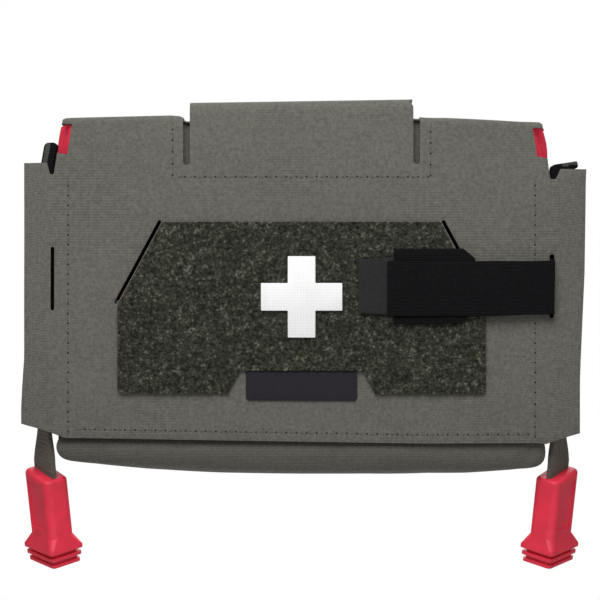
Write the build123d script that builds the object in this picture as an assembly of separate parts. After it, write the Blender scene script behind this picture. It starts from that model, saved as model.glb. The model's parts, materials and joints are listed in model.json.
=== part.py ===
from build123d import *

import os
from math import atan2, cos, degrees, radians, sin

# Drop-out trauma pouch with a stowed windlass tourniquet, in millimetres.
#
# A flat fabric sleeve hangs from a belt or a carrier by a wide hook flap behind it. An insert slides down
# out of the sleeve when either red grip is pulled, and carries the tourniquet in two elastic bands.
#
# Frame: +Z up, +X to the right seen from the front, -Y towards the front. The origin is the centre of the
# hanger flap's flat outer face, which lies against the wearer. "Depth" is the distance in front of that face.

# ---- sleeve --------------------------------------------------------------------------------------
PANEL_WIDTH = 210.0  # between the two side seams
PANEL_HEIGHT = 144.0  # from the hem to the shoulder fold
WING_WIDTH = 21.0  # free flap of the front panel outside each side seam
SLEEVE_DEPTH = 40.0  # clear space between the back lining and the front panel
LAMINATE = 1.2  # stiff laminated nylon
LINING = 0.8
STIFFENER = 1.2
PANEL_RADIUS = 8.0  # corners of the back panel
GUSSET = 0.8
GUSSET_BULGE = 9.0
GUSSET_SETBACK = 1.0  # from a side seam to the gusset's edge
HEM_LIFT = 6.0  # the back panel and gussets end this far above the hem
SLOT_ROWS = 5  # webbing slots in the back panel
SLOT_PITCH = 25.4
SLOT_LENGTH = 32.0
SLOT_HEIGHT = 3.2
SLOT_MARGIN = 12.8  # slot end to side seam

# ---- hanger flap and belt tunnel -----------------------------------------------------------------
FLAP_WIDTH = 100.0
FLAP_THICK = 1.6
FLAP_FLAT = 62.0  # height of the flat outer face
FLAP_SLOPE = 7.0  # height over which the flap turns in towards the back panel
FLAP_TOE = 24.0  # height of its hook-and-loop closure
HINGE_MARGIN = 1.0  # flat face to hinge line
HINGE_TO_TOP = 4.0  # hinge line to shoulder fold
HINGE_GAP = 0.5
BELT_GAP = 6.0
HOOK = 0.9
PILE = 1.2  # narrow loop tape
CLOSURE_GAP = 0.3
BRIDGE_RISE = 8.0  # the top bridge stands this far above the shoulder fold
BRIDGE_RADIUS = 5.0

# ---- features of the front panel -----------------------------------------------------------------
CORNER_REACH = 2.6  # shoulder corner beyond the side seam
CORNER_DROP = 3.0
WINDOW_SETBACK = 1.7  # the red window's inner edge, inside the seam
WINDOW_HEIGHT = 13.5
WINDOW_SLANT = 2.0  # its inner edge runs outwards by this much towards its foot
SHOULDER_FOOT = 5.0
SHOULDER_TOE = 6.6
NOTCH_DEPTH = 5.0
NOTCH_WIDTH = 3.6  # at the wing top
NOTCH_FOOT = 2.0  # and at its rounded foot
NOTCH_RADIUS = 0.8
WING_DROP = 21.0  # shoulder fold to wing top
WING_CHAMFER = 2.4
WING_CHAMFER_RUN = 9.0
SLIT_WIDTH = 3.0  # slits either side of the tongue
SLIT_HEIGHT = 21.0
SLIT_GAP = 0.3
WING_SLOT_INSET = 13.7  # slot centre to wing edge
WING_SLOT_END_GAP = 2.0  # strap edge to slot end
WING_SLOT_SIDE_GAP = 0.2
SPARE_SLOT_RISE = 3.4  # the unused left slot sits above the strap's line

LOOP_WIDTH = 165.2  # pile field
LOOP_TOP_WIDTH = 124.6
LOOP_HEIGHT = 77.0
LOOP_SHOULDER = 37.5
LOOP_LOW = 20.2  # above the hem
LOOP_PILE = 1.6
LOOP_RADIUS = 2.0
LABEL_WIDTH = 50.0
LABEL_HEIGHT = 13.0
LABEL_THICK = 0.8
LABEL_MARGIN = 2.7
LABEL_FLARE = 5.3
LABEL_CUT = 10.2  # height of the pile field's cut-out over the label
CORD_SLOT_WIDTH = 1.6
CORD_SLOT_OFFSET = 1.4
CROSS_SIZE = 36.5
CROSS_ARM = 12.4
CROSS_THICK = 1.2
CROSS_DROP = 8.5  # cross centre below the panel's centre

KEEPER_OPEN = 6.2  # thickness of the left-hand keeper, which stands open
KEEPER_FLAT = 3.2  # and of the right-hand one, which is pressed flat over the wing's top edge
KEEPER_DEPTH = 6.0
KEEPER_FOOT = 8.0  # sewn length below its bend
KEEPER_FREE = 8.6  # length above its bend
KEEPER_BEND = 0.6  # bend above the wing top
KEEPER_LEAN = 79.0
KEEPER_EDGE = 0.4  # shoulder toe to the keeper's inner edge

# ---- retention strap -----------------------------------------------------------------------------
STRAP_WIDTH = 24.7
STRAP_THICK = 1.5
STRAP_TO_CROSS = 7.2
STRAP_DROP = 3.7  # strap centre below the panel's centre
STRAP_OVERLAP = 3.0
STRAP_GAP = 0.4
HOOK_WIDTH = 33.7
HOOK_LENGTH = 31.0
HOOK_TAPER = 5.5  # the patch narrows to the elastic over this length
PULL_END_LENGTH = 15.9
PULL_END_WIDTH = 25.6
ANCHOR_REACH = 11.0

# ---- insert --------------------------------------------------------------------------------------
INSERT_SIDE_GAP = 3.0  # side gusset's edge to insert
INSERT_BACK_GAP = 0.4
INSERT_FRONT_GAP = 0.5
INSERT_HEAD_GAP = 8.8
BOARD_RADIUS = 9.0
WALL = 0.8
FRONT_WALL = 1.0
FRONT_WALL_HEIGHT = 62.0
SIDE_WALL_RISE = 37.0  # the side walls climb this much from front to back
FLOOR_DROP = 17.0  # floor below the hem at the middle
FLOOR_END_DROP = 12.4  # and at its ends
FLOOR_HALF_EXTRA = 5.1  # the floor's boxed corners stand past the side seams
FLOOR_SKIN = 1.4
FLOOR_RADIUS = 4.0
FLOOR_CORNER = 5.5

# ---- pull grips ----------------------------------------------------------------------------------
PULL_SETBACK = 12.8  # front panel to the middle of the webbing
PULL_TURN = 49.0  # the webbing's and grip's wide faces look outwards by this angle
TAPE_WIDTH = 16.0
TAPE_THICK = 2.4  # doubled webbing
TAPE_GAP = 1.8  # floor end to the webbing's nearest corner
PIVOT_RISE = 3.0  # swing axis above the hem
SWING_TO_TURN = 16.0
TURN_GAP = 0.7
ANCHOR_THICK = 0.8
ANCHOR_GAP = 0.3
ANCHOR_PATCH = 3.0  # sewn height on the boxed corner
GRIP_WIDE = 20.0
GRIP_NARROW = 12.5
GRIP_LENGTH = 42.2
GRIP_NECK = 4.2  # turn axis to grip
GRIP_BASE = 13.2  # flared and ribbed length
GRIP_FLARE = 2.5
GRIP_FLARE_RUN = 5.1
RIB_COUNT = 3
RIB_LAND = 1.5
RIB_TAPER = 0.66
RIB_CORE = 0.3
GRIP_RADIUS = 3.4
GRIP_ROUND = 1.9  # rim of its top
GRIP_SLOPE = 4.0  # the top falls by this much across the grip, towards the object's middle
RIB_RADIUS = 1.8
PANEL_RECESS = 0.6
RECESS_MARGIN = 3.6
GRIP_TILT = 4.2  # the grips hang slightly towards each other
GRIP_LEAN = 10.0  # and backwards
TAIL_LENGTH = 15.0

# ---- tourniquet ----------------------------------------------------------------------------------
BAND_HEIGHT = 40.0
BAND_STACK = 16.0  # folded strap
BAND_END_GAP = 15.0
BUCKLE_LENGTH = 11.5
BUCKLE_HEIGHT = 43.0
BUCKLE_THICK = 9.0
BUCKLE_SLOT = 3.0
PLATE_GAP = 8.0  # elastic to plate
PLATE_HEIGHT = 38.0
PLATE_THICK = 1.8
ROD_OVERHANG = 2.0  # past the plate at each end
ROD_RADIUS = 4.4
KNOB_STEP = 0.8
ROD_GAP = 0.2  # knob to plate
CLIP_LENGTH = 16.0
CLIP_WALL = 3.4
CLIP_FLOOR = 0.7
CLIP_GAP = 0.25
CLIP_INSET = 10.0  # from the plate's end
TIME_STRAP_WIDTH = 11.0
TIME_STRAP_THICK = 0.8
WRAP_LENGTH = 22.0
WRAP_GAP = 15.0  # clip to the band's wrap
WRAP_WALL = 1.6
ELASTIC_WIDTH = 22.0
ELASTIC_THICK = 1.4
ELASTIC_INSET = 3.2  # from the fold's end
ELASTIC_FLANGE = 8.0
ELASTIC_GAP = 0.3
TOURNIQUET_RISE = 22.0  # tourniquet axis above the panel's centre

# ---- derived heights -----------------------------------------------------------------------------
HINGE_Z = FLAP_FLAT / 2 + HINGE_MARGIN
TOP = HINGE_Z + HINGE_TO_TOP
HEM = TOP - PANEL_HEIGHT
MIDDLE = (TOP + HEM) / 2
BRIDGE_TOP = TOP + BRIDGE_RISE

# ---- derived depths ------------------------------------------------------------------------------
BACK = FLAP_THICK + BELT_GAP
BACK_FRONT = BACK + LAMINATE
LINING_BACK = BACK_FRONT + STIFFENER
INNER = LINING_BACK + LINING
FRONT = INNER + SLEEVE_DEPTH
FACE = FRONT + LAMINATE
PILE_FACE = FACE + LOOP_PILE

# ---- derived widths ------------------------------------------------------------------------------
SEAM = PANEL_WIDTH / 2
WING = SEAM + WING_WIDTH
GUSSET_EDGE = SEAM - GUSSET_SETBACK
SLOT_X = WING - WING_SLOT_INSET
STRAP_Z = MIDDLE - STRAP_DROP
STRAP_END = CROSS_SIZE / 2 + STRAP_TO_CROSS
PULL_END = STRAP_END + PULL_END_LENGTH
PULL_DEPTH = FRONT - PULL_SETBACK
TONGUE = FLAP_WIDTH / 2

# ---- derived places of the insert ----------------------------------------------------------------
INSERT_HALF = GUSSET_EDGE - INSERT_SIDE_GAP
INSERT_BACK = INNER + INSERT_BACK_GAP
BOARD_BACK = INSERT_BACK + WALL
BOARD_FRONT = BOARD_BACK + STIFFENER
BOARD_FACE = BOARD_FRONT + WALL
INSERT_FRONT = FRONT - INSERT_FRONT_GAP
INSERT_TOP = TOP - LAMINATE - INSERT_HEAD_GAP
FLOOR_HALF = SEAM + FLOOR_HALF_EXTRA
FRONT_WALL_TOP = HEM + FRONT_WALL_HEIGHT
ROD_Z = MIDDLE + TOURNIQUET_RISE

# ---- derived places of the tourniquet ------------------------------------------------------------
BAND_HALF = INSERT_HALF - WALL - BAND_END_GAP
ELASTIC_X = BAND_HALF - ELASTIC_INSET - ELASTIC_WIDTH / 2
PLATE_HALF = ELASTIC_X - ELASTIC_WIDTH / 2 - PLATE_GAP
CLIP_END = PLATE_HALF - CLIP_INSET
BAND_FACE = BOARD_FACE + BAND_STACK
PLATE_FACE = BAND_FACE + PLATE_THICK
KNOB_RADIUS = ROD_RADIUS + KNOB_STEP
ROD_DEPTH = PLATE_FACE + ROD_GAP + KNOB_RADIUS


def slab(face, depth, thickness):
    """Extrudes a face drawn in (x, z), from a depth towards the front."""
    return extrude(Plane.XZ.offset(depth) * face, amount=thickness)


def outline(points):
    """Closed face through points."""
    return make_face(Polyline(*points, close=True))


def mirrored(half):
    """Closed face from the right half of a symmetric outline, listed from the middle outwards and back."""
    left = [(-x, z) for x, z in reversed(half) if x > 0]
    return outline(half + left)


def rail(points, x_low, x_high):
    """Extrudes a closed (depth, z) profile along X."""
    face = outline([(-depth, z) for depth, z in points])
    return extrude(Plane.YZ.offset(x_low) * face, amount=x_high - x_low)


def block(x, depth, z):
    """Box from its (low, high) pairs."""
    size = [high - low for low, high in (x, depth, z)]
    return Pos(sum(x) / 2, -sum(depth) / 2, sum(z) / 2) * Box(*size)


def plate(half_width, low, high, depth, thickness, radius=0.0):
    """Upright plate, symmetric about X, with its top corners rounded."""
    face = Pos(0, (low + high) / 2) * Rectangle(2 * half_width, high - low)
    if radius:
        face = fillet(face.vertices().group_by(Axis.Y)[-1], radius)
    return slab(face, depth, thickness)


def slot(length, width):
    """Round-ended slot along the sketch's X."""
    return SlotOverall(length, width)


def pair(name, right):
    """A right-hand piece and its mirror image, as two named nodes."""
    return {f"{name}_right": right, f"{name}_left": mirror(right, about=Plane.YZ)}


# ---- sleeve --------------------------------------------------------------------------------------


def front_outline():
    """Front panel with its shoulders, red windows, notches and wings."""
    window_top = TOP - CORNER_DROP
    window_low = window_top - WINDOW_HEIGHT
    wing_top = TOP - WING_DROP
    slot_foot = wing_top - NOTCH_DEPTH
    face = mirrored(
        [
            (0, TOP),
            (SEAM + CORNER_REACH, TOP),
            (SEAM + CORNER_REACH, window_top),
            (SEAM - WINDOW_SETBACK, window_top),
            (SEAM - WINDOW_SETBACK + WINDOW_SLANT, window_low),
            (SEAM + SHOULDER_FOOT, window_low),
            (SEAM + SHOULDER_TOE, slot_foot),
            (SEAM + SHOULDER_TOE + NOTCH_FOOT, slot_foot),
            (SEAM + SHOULDER_TOE + NOTCH_WIDTH, wing_top),
            (WING, wing_top),
            (WING, HEM + 2 * WING_CHAMFER),
            (WING - WING_CHAMFER_RUN, HEM + WING_CHAMFER),
            (SEAM + SHOULDER_FOOT, HEM),
            (0, HEM),
        ]
    )
    return fillet([v for v in face.vertices() if abs(v.Y - slot_foot) < 0.01], NOTCH_RADIUS)


def cord_slot():
    """Slanted slot beside the right shoulder of the pile field."""
    top = Vector(LOOP_TOP_WIDTH / 2, HEM + LOOP_LOW + LOOP_HEIGHT)
    foot = Vector(LOOP_WIDTH / 2, top.Y - LOOP_SHOULDER)
    run = foot - top
    middle = (top + foot) / 2 + Vector(-run.Y, run.X).normalized() * CORD_SLOT_OFFSET
    turn = Vector(1, 0).get_signed_angle(run, Vector(0, 0, 1))
    return Pos(middle.X, middle.Y) * Rot(0, 0, turn) * slot(run.length, CORD_SLOT_WIDTH)


def front_panel():
    """Laminated face of the sleeve, with the cuts that the tongue, strap and cords need."""
    slit = Pos(TONGUE + SLIT_GAP + SLIT_WIDTH / 2, TOP - SLIT_HEIGHT / 2) * Rectangle(SLIT_WIDTH, SLIT_HEIGHT)
    slit = fillet(slit.vertices().group_by(Axis.Y)[0], SLIT_WIDTH / 2 - 0.1)
    length, width = STRAP_WIDTH + 2 * WING_SLOT_END_GAP, STRAP_THICK + 2 * WING_SLOT_SIDE_GAP
    strap_slot = Pos(SLOT_X, STRAP_Z) * Rot(0, 0, 90) * slot(length, width)
    spare_slot = Pos(-SLOT_X, STRAP_Z + SPARE_SLOT_RISE) * Rot(0, 0, 90) * slot(length, width)
    face = front_outline() - strap_slot - spare_slot
    for cut in (slit, cord_slot()):
        face = face - cut - mirror(cut, about=Plane.YZ)
    return slab(face, FRONT, LAMINATE)


def top_cover():
    """Closes the sleeve's top between the front and back panels."""
    reach = SEAM + CORNER_REACH
    return block((-reach, reach), (BACK_FRONT, FRONT), (TOP - LAMINATE, TOP))


def top_bridge():
    """The front panel's tongue, carried over the top to the hanger flap."""
    depth_low, depth_high = (FLAP_THICK - LAMINATE) / 2, FACE
    width = depth_high - depth_low
    foot = HINGE_Z + FLAP_THICK / 2 + HINGE_GAP
    height = BRIDGE_TOP - foot

    def arch(inset):
        face = Pos(-(depth_low + depth_high) / 2, foot + (height - inset) / 2) * Rectangle(
            width - 2 * inset, height - inset
        )
        return fillet(face.vertices().group_by(Axis.Y)[-1], BRIDGE_RADIUS - inset)

    shell = extrude(Plane.YZ.offset(-TONGUE) * (arch(0) - arch(LAMINATE)), amount=2 * TONGUE)
    below_fold = block((-TONGUE, TONGUE), (BACK, FACE + 1), (foot - 1, TOP))
    return shell - below_fold


def side_gusset():
    """Bowed side wall between the front and back panels."""
    middle = (BACK_FRONT + FRONT) / 2

    def bow(edge):
        return ThreePointArc((edge, -BACK_FRONT), (edge + GUSSET_BULGE, -middle), (edge, -FRONT))

    inner, outer = bow(GUSSET_EDGE), bow(GUSSET_EDGE + GUSSET)
    ends = [Line(inner @ t, outer @ t) for t in (0, 1)]
    face = make_face([inner, outer, *ends])
    low = HEM + HEM_LIFT
    return Pos(0, 0, low) * extrude(face, amount=TOP - LAMINATE - low)


def back_panel():
    """Laminated back with rows of webbing slots either side of the hanger flap."""
    face = Pos(0, (TOP + HEM + HEM_LIFT) / 2) * Rectangle(2 * (SEAM + CORNER_REACH), PANEL_HEIGHT - HEM_LIFT)
    face = fillet(face.vertices().group_by(Axis.Y)[0], PANEL_RADIUS)
    column = SEAM - SLOT_MARGIN - SLOT_LENGTH / 2
    for side in (-1, 1):
        for row in range(SLOT_ROWS):
            rise = (row - (SLOT_ROWS - 1) / 2) * SLOT_PITCH
            face -= Pos(side * column, MIDDLE + rise) * slot(SLOT_LENGTH, SLOT_HEIGHT)
    return slab(face, BACK, LAMINATE)


def backing(inset, depth, thickness):
    """A layer inside the back panel, held in by a margin all round."""
    low, high = HEM + HEM_LIFT + inset, TOP - LAMINATE
    return plate(GUSSET_EDGE - inset, low, high, depth, thickness)


def pile_field():
    """Loop pile with sloped shoulders and a cut-out over the label."""
    low = HEM + LOOP_LOW
    knee = low + LOOP_HEIGHT - LOOP_SHOULDER
    cut = LABEL_WIDTH / 2 + LABEL_MARGIN
    face = mirrored(
        [
            (cut, low + LABEL_CUT),
            (cut + LABEL_FLARE, low),
            (LOOP_WIDTH / 2, low),
            (LOOP_WIDTH / 2, knee),
            (LOOP_TOP_WIDTH / 2, low + LOOP_HEIGHT),
        ]
    )
    lowest = [v for v in face.vertices() if abs(v.Y - low) < 0.1 and abs(v.X) > LOOP_WIDTH / 2 - 0.1]
    return slab(fillet(lowest, LOOP_RADIUS), FACE, LOOP_PILE)


def cross_patch():
    """Even-armed cross on the pile field."""
    face = Rectangle(CROSS_SIZE, CROSS_ARM) + Rectangle(CROSS_ARM, CROSS_SIZE)
    return slab(Pos(0, MIDDLE - CROSS_DROP) * face, PILE_FACE, CROSS_THICK)


def blank_label():
    """Bare woven label, sewn in the pile field's cut-out."""
    high = HEM + LOOP_LOW + LABEL_CUT
    return plate(LABEL_WIDTH / 2, high - LABEL_HEIGHT, high, FACE, LABEL_THICK)


def keeper(thick, lean):
    """Folded elastic keeper in the right-hand notch, sewn behind the wing and bent over by an angle."""
    x = SEAM + SHOULDER_TOE + KEEPER_EDGE + thick / 2
    bend = TOP - WING_DROP + KEEPER_BEND
    foot = Pos(x, bend - KEEPER_FOOT / 2) * Rectangle(thick, KEEPER_FOOT)
    free = Pos(0, KEEPER_FREE / 2) * Rectangle(thick, KEEPER_FREE)
    free = fillet(free.vertices().group_by(Axis.Y)[-1], thick * 0.3)
    face = foot + Pos(x, bend) * Circle(thick / 2) + Pos(x, bend) * Rot(0, 0, -lean) * free
    return slab(face, FRONT - KEEPER_DEPTH, KEEPER_DEPTH)


def hanger_loop():
    """Loop tape on the back panel, under the hanger flap's toe."""
    high = -FLAP_FLAT / 2 - FLAP_SLOPE
    return plate(TONGUE, high - FLAP_TOE, high, BACK - PILE, PILE)


# ---- hanger flap ---------------------------------------------------------------------------------


def hanger_flap():
    """Wide flap behind the belt, turned in at its toe."""
    toe_back = BACK - PILE - CLOSURE_GAP - HOOK - FLAP_THICK
    knee = -FLAP_FLAT / 2
    toe_top = knee - FLAP_SLOPE
    toe = toe_top - FLAP_TOE
    strip = rail(
        [
            (0, HINGE_Z),
            (0, knee),
            (toe_back, toe_top),
            (toe_back, toe),
            (toe_back + FLAP_THICK, toe),
            (toe_back + FLAP_THICK, toe_top),
            (FLAP_THICK, knee),
            (FLAP_THICK, HINGE_Z),
        ],
        -TONGUE,
        TONGUE,
    )
    knuckle = Pos(-TONGUE, -FLAP_THICK / 2, HINGE_Z) * Rot(0, 90, 0)
    roll = Cylinder(FLAP_THICK / 2, 2 * TONGUE, align=(Align.CENTER, Align.CENTER, Align.MIN))
    return strip + knuckle * roll


def hanger_hook():
    """Hook tape on the inner face of the flap's toe."""
    high = -FLAP_FLAT / 2 - FLAP_SLOPE
    return plate(TONGUE, high - FLAP_TOE, high, BACK - PILE - CLOSURE_GAP - HOOK, HOOK)


# ---- retention strap -----------------------------------------------------------------------------


STRAP_LAYER = PILE_FACE + CLOSURE_GAP  # depth of the hook patch's back
STRAP_BACK = STRAP_LAYER + PILE  # and of the elastic's back
STRAP_AXIS = STRAP_BACK + STRAP_THICK / 2


def strap_span(width):
    """(low, high) of a strap layer in Z."""
    return (STRAP_Z - width / 2, STRAP_Z + width / 2)


def strap_anchor():
    """Elastic tail sewn behind the wing and brought forward through its slot."""
    low, span = SLOT_X - STRAP_THICK / 2, strap_span(STRAP_WIDTH)
    tail = block((low, SLOT_X + ANCHOR_REACH), (FRONT - STRAP_THICK, FRONT), span)
    nose = block((low, low + STRAP_THICK), (FRONT, STRAP_BACK - STRAP_GAP), span)
    return tail + nose


def strap_elastic():
    """Elastic band across the front, rounded where it turns at the slot."""
    reach = (PULL_END - STRAP_OVERLAP, SLOT_X)
    band = block(reach, (STRAP_BACK, STRAP_BACK + STRAP_THICK), strap_span(STRAP_WIDTH))
    return band + Pos(SLOT_X, -STRAP_AXIS, STRAP_Z) * Cylinder(STRAP_THICK / 2, STRAP_WIDTH)


def strap_hook():
    """Hook patch behind the elastic, wider than it."""
    corner = PULL_END + HOOK_LENGTH
    (low, high), (thin_low, thin_high) = strap_span(HOOK_WIDTH), strap_span(STRAP_WIDTH)
    tip = corner + HOOK_TAPER
    taper = [(corner, low), (tip, thin_low), (tip, thin_high), (corner, high)]
    return slab(outline([(PULL_END, low), *taper, (PULL_END, high)]), STRAP_LAYER, PILE)


def strap_pull_end():
    """Smooth tab to lift the hook patch by."""
    return block((STRAP_END, PULL_END), (STRAP_LAYER, STRAP_BACK), strap_span(PULL_END_WIDTH))


# ---- insert --------------------------------------------------------------------------------------


def board(inset, depth, thickness):
    """A layer of the insert's upright board."""
    return plate(
        INSERT_HALF - inset, HEM + inset, INSERT_TOP - inset, depth, thickness, BOARD_RADIUS - inset
    )


def insert_side_wall():
    """Sloping side wall of the insert's tray."""
    profile = [
        (BOARD_FACE, HEM),
        (BOARD_FACE, FRONT_WALL_TOP + SIDE_WALL_RISE),
        (INSERT_FRONT - FRONT_WALL, FRONT_WALL_TOP),
        (INSERT_FRONT - FRONT_WALL, HEM),
    ]
    return rail(profile, INSERT_HALF - WALL, INSERT_HALF)


def insert_floor():
    """Bowed bottom of the insert, with boxed corners that stand past its sides."""

    def trough(half, inset, corner):
        middle_z = HEM - FLOOR_DROP + inset
        end_z = HEM - FLOOR_END_DROP + inset
        face = make_face(
            [
                Polyline((-half, end_z), (-half, HEM), (half, HEM), (half, end_z)),
                ThreePointArc((half, end_z), (0, middle_z), (-half, end_z)),
            ]
        )
        return fillet(face.vertices().group_by(Axis.Y)[0], corner)

    outer = slab(trough(FLOOR_HALF, 0, FLOOR_CORNER), INSERT_BACK, INSERT_FRONT - INSERT_BACK)
    by_depth = outer.edges().group_by(Axis.Y)
    rims = [edge for edge in by_depth[0] + by_depth[-1] if edge.geom_type != GeomType.LINE]
    outer = fillet(rims, FLOOR_RADIUS)
    depth = INSERT_FRONT - FRONT_WALL - BOARD_FACE
    return outer - slab(trough(INSERT_HALF - WALL, FLOOR_SKIN, FLOOR_CORNER), BOARD_FACE, depth)


def insert_elastic(x):
    """Elastic band sewn to the board above and below the folded tourniquet."""
    reach = BAND_HEIGHT / 2 + ELASTIC_GAP
    face, top = BOARD_FACE, BOARD_FACE + BAND_STACK + ELASTIC_GAP
    outer_reach = reach + ELASTIC_THICK
    profile = [
        (face, ROD_Z - outer_reach - ELASTIC_FLANGE),
        (face, ROD_Z - reach),
        (top, ROD_Z - reach),
        (top, ROD_Z + reach),
        (face, ROD_Z + reach),
        (face, ROD_Z + outer_reach + ELASTIC_FLANGE),
        (face + ELASTIC_THICK, ROD_Z + outer_reach + ELASTIC_FLANGE),
        (face + ELASTIC_THICK, ROD_Z + outer_reach),
        (top + ELASTIC_THICK, ROD_Z + outer_reach),
        (top + ELASTIC_THICK, ROD_Z - outer_reach),
        (face + ELASTIC_THICK, ROD_Z - outer_reach),
        (face + ELASTIC_THICK, ROD_Z - outer_reach - ELASTIC_FLANGE),
    ]
    return rail(profile, x - ELASTIC_WIDTH / 2, x + ELASTIC_WIDTH / 2)


# ---- pull grips ----------------------------------------------------------------------------------

TAPE_SPAN = TAPE_WIDTH * cos(radians(PULL_TURN)) + TAPE_THICK * sin(radians(PULL_TURN))
TAPE_X = FLOOR_HALF + TAPE_GAP + TAPE_SPAN / 2
SWING_Z = HEM + PIVOT_RISE
TURN_Z = SWING_Z - SWING_TO_TURN


def turned(shape, z):
    """Places a right-hand pull piece, drawn about the Z axis with its wide face forwards, on the webbing."""
    return Pos(TAPE_X, -PULL_DEPTH, z) * Rot(0, 0, PULL_TURN) * shape


def pull_anchor():
    """Webbing sewn to the insert's boxed corner, with its free edge turned to the pull's swing axis."""
    edge = TAPE_THICK / 2 + ANCHOR_GAP
    front, back = [turned(Pos(side * TAPE_WIDTH / 2, edge, 0), 0).position for side in (-1, 1)]
    corners = [(FLOOR_HALF, front.Y), (front.X, front.Y), (back.X, back.Y), (FLOOR_HALF, back.Y)]
    flap = Pos(0, 0, SWING_Z - ANCHOR_THICK / 2) * extrude(outline(corners), amount=ANCHOR_THICK)
    side = (FLOOR_HALF, FLOOR_HALF + ANCHOR_THICK)
    return flap + block(side, (-back.Y, -front.Y), (HEM - ANCHOR_PATCH, SWING_Z))


def pull_webbing():
    """Doubled webbing from its fold at the swing axis down to the turn axis."""
    length = SWING_TO_TURN - TURN_GAP
    band = Pos(0, 0, -length / 2) * Box(TAPE_WIDTH, TAPE_THICK, length)
    return turned(band + Rot(0, 90, 0) * Cylinder(TAPE_THICK / 2, TAPE_WIDTH), SWING_Z)


def hung(shape):
    """Places a right-hand grip piece under the turn axis, tilted and leaning."""
    pivot = Vector(TAPE_X, -PULL_DEPTH, TURN_Z)
    shape = turned(shape, TURN_Z).rotate(Axis(pivot, (0, 1, 0)), GRIP_TILT)
    return shape.rotate(Axis(pivot, (1, 0, 0)), GRIP_LEAN)


def tail():
    """Webbing end, drawn under the turn axis."""
    length = TAIL_LENGTH - TURN_GAP
    return Pos(0, 0, -TURN_GAP - length / 2) * Box(TAPE_WIDTH, TAPE_THICK, length)


def grip_section(grow, radius):
    """Rounded rectangular section of the grip, grown by an amount on every side."""
    face = Rectangle(GRIP_WIDE + 2 * grow, GRIP_NARROW + 2 * grow)
    return fillet(face.vertices(), radius)


def grip_body(length):
    """Upper part of the grip, whose top rises outwards."""
    blank = Pos(0, 0, GRIP_SLOPE) * extrude(grip_section(0, GRIP_RADIUS), amount=-length - GRIP_SLOPE)
    slope = degrees(atan2(GRIP_SLOPE, GRIP_WIDE))
    body = split(blank, Plane.XY.rotated((0, -slope, 0)), keep=Keep.BOTTOM)
    return fillet(body.faces().sort_by(Axis.Z)[-1].edges(), GRIP_ROUND)


def pull_grip():
    """Moulded rubber grip with a recessed face, a flared base and ribs."""
    body_length = GRIP_LENGTH - GRIP_BASE
    body = grip_body(body_length)
    flare_top, flare_low = Pos(0, 0, -body_length), Pos(0, 0, -body_length - GRIP_FLARE_RUN)
    body += loft([flare_top * grip_section(0, GRIP_RADIUS), flare_low * grip_section(GRIP_FLARE, RIB_RADIUS)])
    ribs_length = GRIP_BASE - GRIP_FLARE_RUN
    body += flare_low * extrude(grip_section(RIB_CORE, RIB_RADIUS), amount=-ribs_length)
    pitch = (ribs_length - RIB_LAND) / (RIB_COUNT - 1)
    for number in range(RIB_COUNT):
        rib = grip_section(GRIP_FLARE - RIB_TAPER * number, RIB_RADIUS)
        body += flare_low * Pos(0, 0, -number * pitch) * extrude(rib, amount=-RIB_LAND)
    width, height = GRIP_WIDE - 2 * RECESS_MARGIN, body_length - 2 * RECESS_MARGIN
    body -= Pos(0, -GRIP_NARROW / 2, -body_length / 2) * Box(width, 2 * PANEL_RECESS, height)
    return hung(Pos(0, 0, -GRIP_NECK) * body - tail())


# ---- tourniquet ----------------------------------------------------------------------------------


def band(half_height):
    """(low, high) of a tourniquet piece in Z."""
    return (ROD_Z - half_height, ROD_Z + half_height)


def tourniquet_band():
    """Strap folded flat in long turns."""
    stack = block((-BAND_HALF, BAND_HALF), (BOARD_FACE, BAND_FACE), band(BAND_HEIGHT / 2))
    ends = stack.edges().filter_by(Axis.Z)
    return fillet(ends, BAND_STACK / 2 - 0.5)


def tourniquet_buckle():
    """Double-slotted buckle on the band's left-hand fold."""
    right = -BAND_HALF
    middle = BOARD_FACE + BAND_STACK / 2
    x = (right - BUCKLE_LENGTH, right)
    frame = block(x, (middle - BUCKLE_THICK / 2, middle + BUCKLE_THICK / 2), band(BUCKLE_HEIGHT / 2))
    frame = fillet(frame.edges().filter_by(Axis.Y), BUCKLE_SLOT / 2)
    for share in (1, 3):
        centre = right - BUCKLE_LENGTH * share / 4
        frame -= block(
            (centre - BUCKLE_SLOT / 2, centre + BUCKLE_SLOT / 2),
            (middle - BUCKLE_THICK, middle + BUCKLE_THICK),
            band(BAND_HEIGHT / 2 - BUCKLE_SLOT),
        )
    return frame


def tourniquet_plate():
    """Stiff base plate under the windlass."""
    sheet = block((-PLATE_HALF, PLATE_HALF), (BAND_FACE, PLATE_FACE), band(PLATE_HEIGHT / 2))
    return fillet(sheet.edges().filter_by(Axis.Y), BUCKLE_SLOT)


def windlass():
    """Rod with knobbed ends, lying along the band in its clip."""
    half = PLATE_HALF + ROD_OVERHANG
    rod = Cylinder(ROD_RADIUS, 2 * half)
    knob = fillet(Cylinder(KNOB_RADIUS, KNOB_RADIUS).edges(), 1.0)
    for end in (-1, 1):
        rod += Pos(0, 0, end * (half - KNOB_RADIUS / 2)) * knob
    return Pos(0, -ROD_DEPTH, ROD_Z) * Rot(0, 90, 0) * rod


def windlass_clip():
    """Open channel that locks the windlass."""
    half = ROD_RADIUS + CLIP_GAP + CLIP_WALL
    x = (CLIP_END - CLIP_LENGTH, CLIP_END)
    body = block(x, (PLATE_FACE, ROD_DEPTH + ROD_RADIUS), band(half))
    channel = block(x, (PLATE_FACE + CLIP_FLOOR, ROD_DEPTH + 2 * ROD_RADIUS), band(ROD_RADIUS + CLIP_GAP))
    return body - channel


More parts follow.
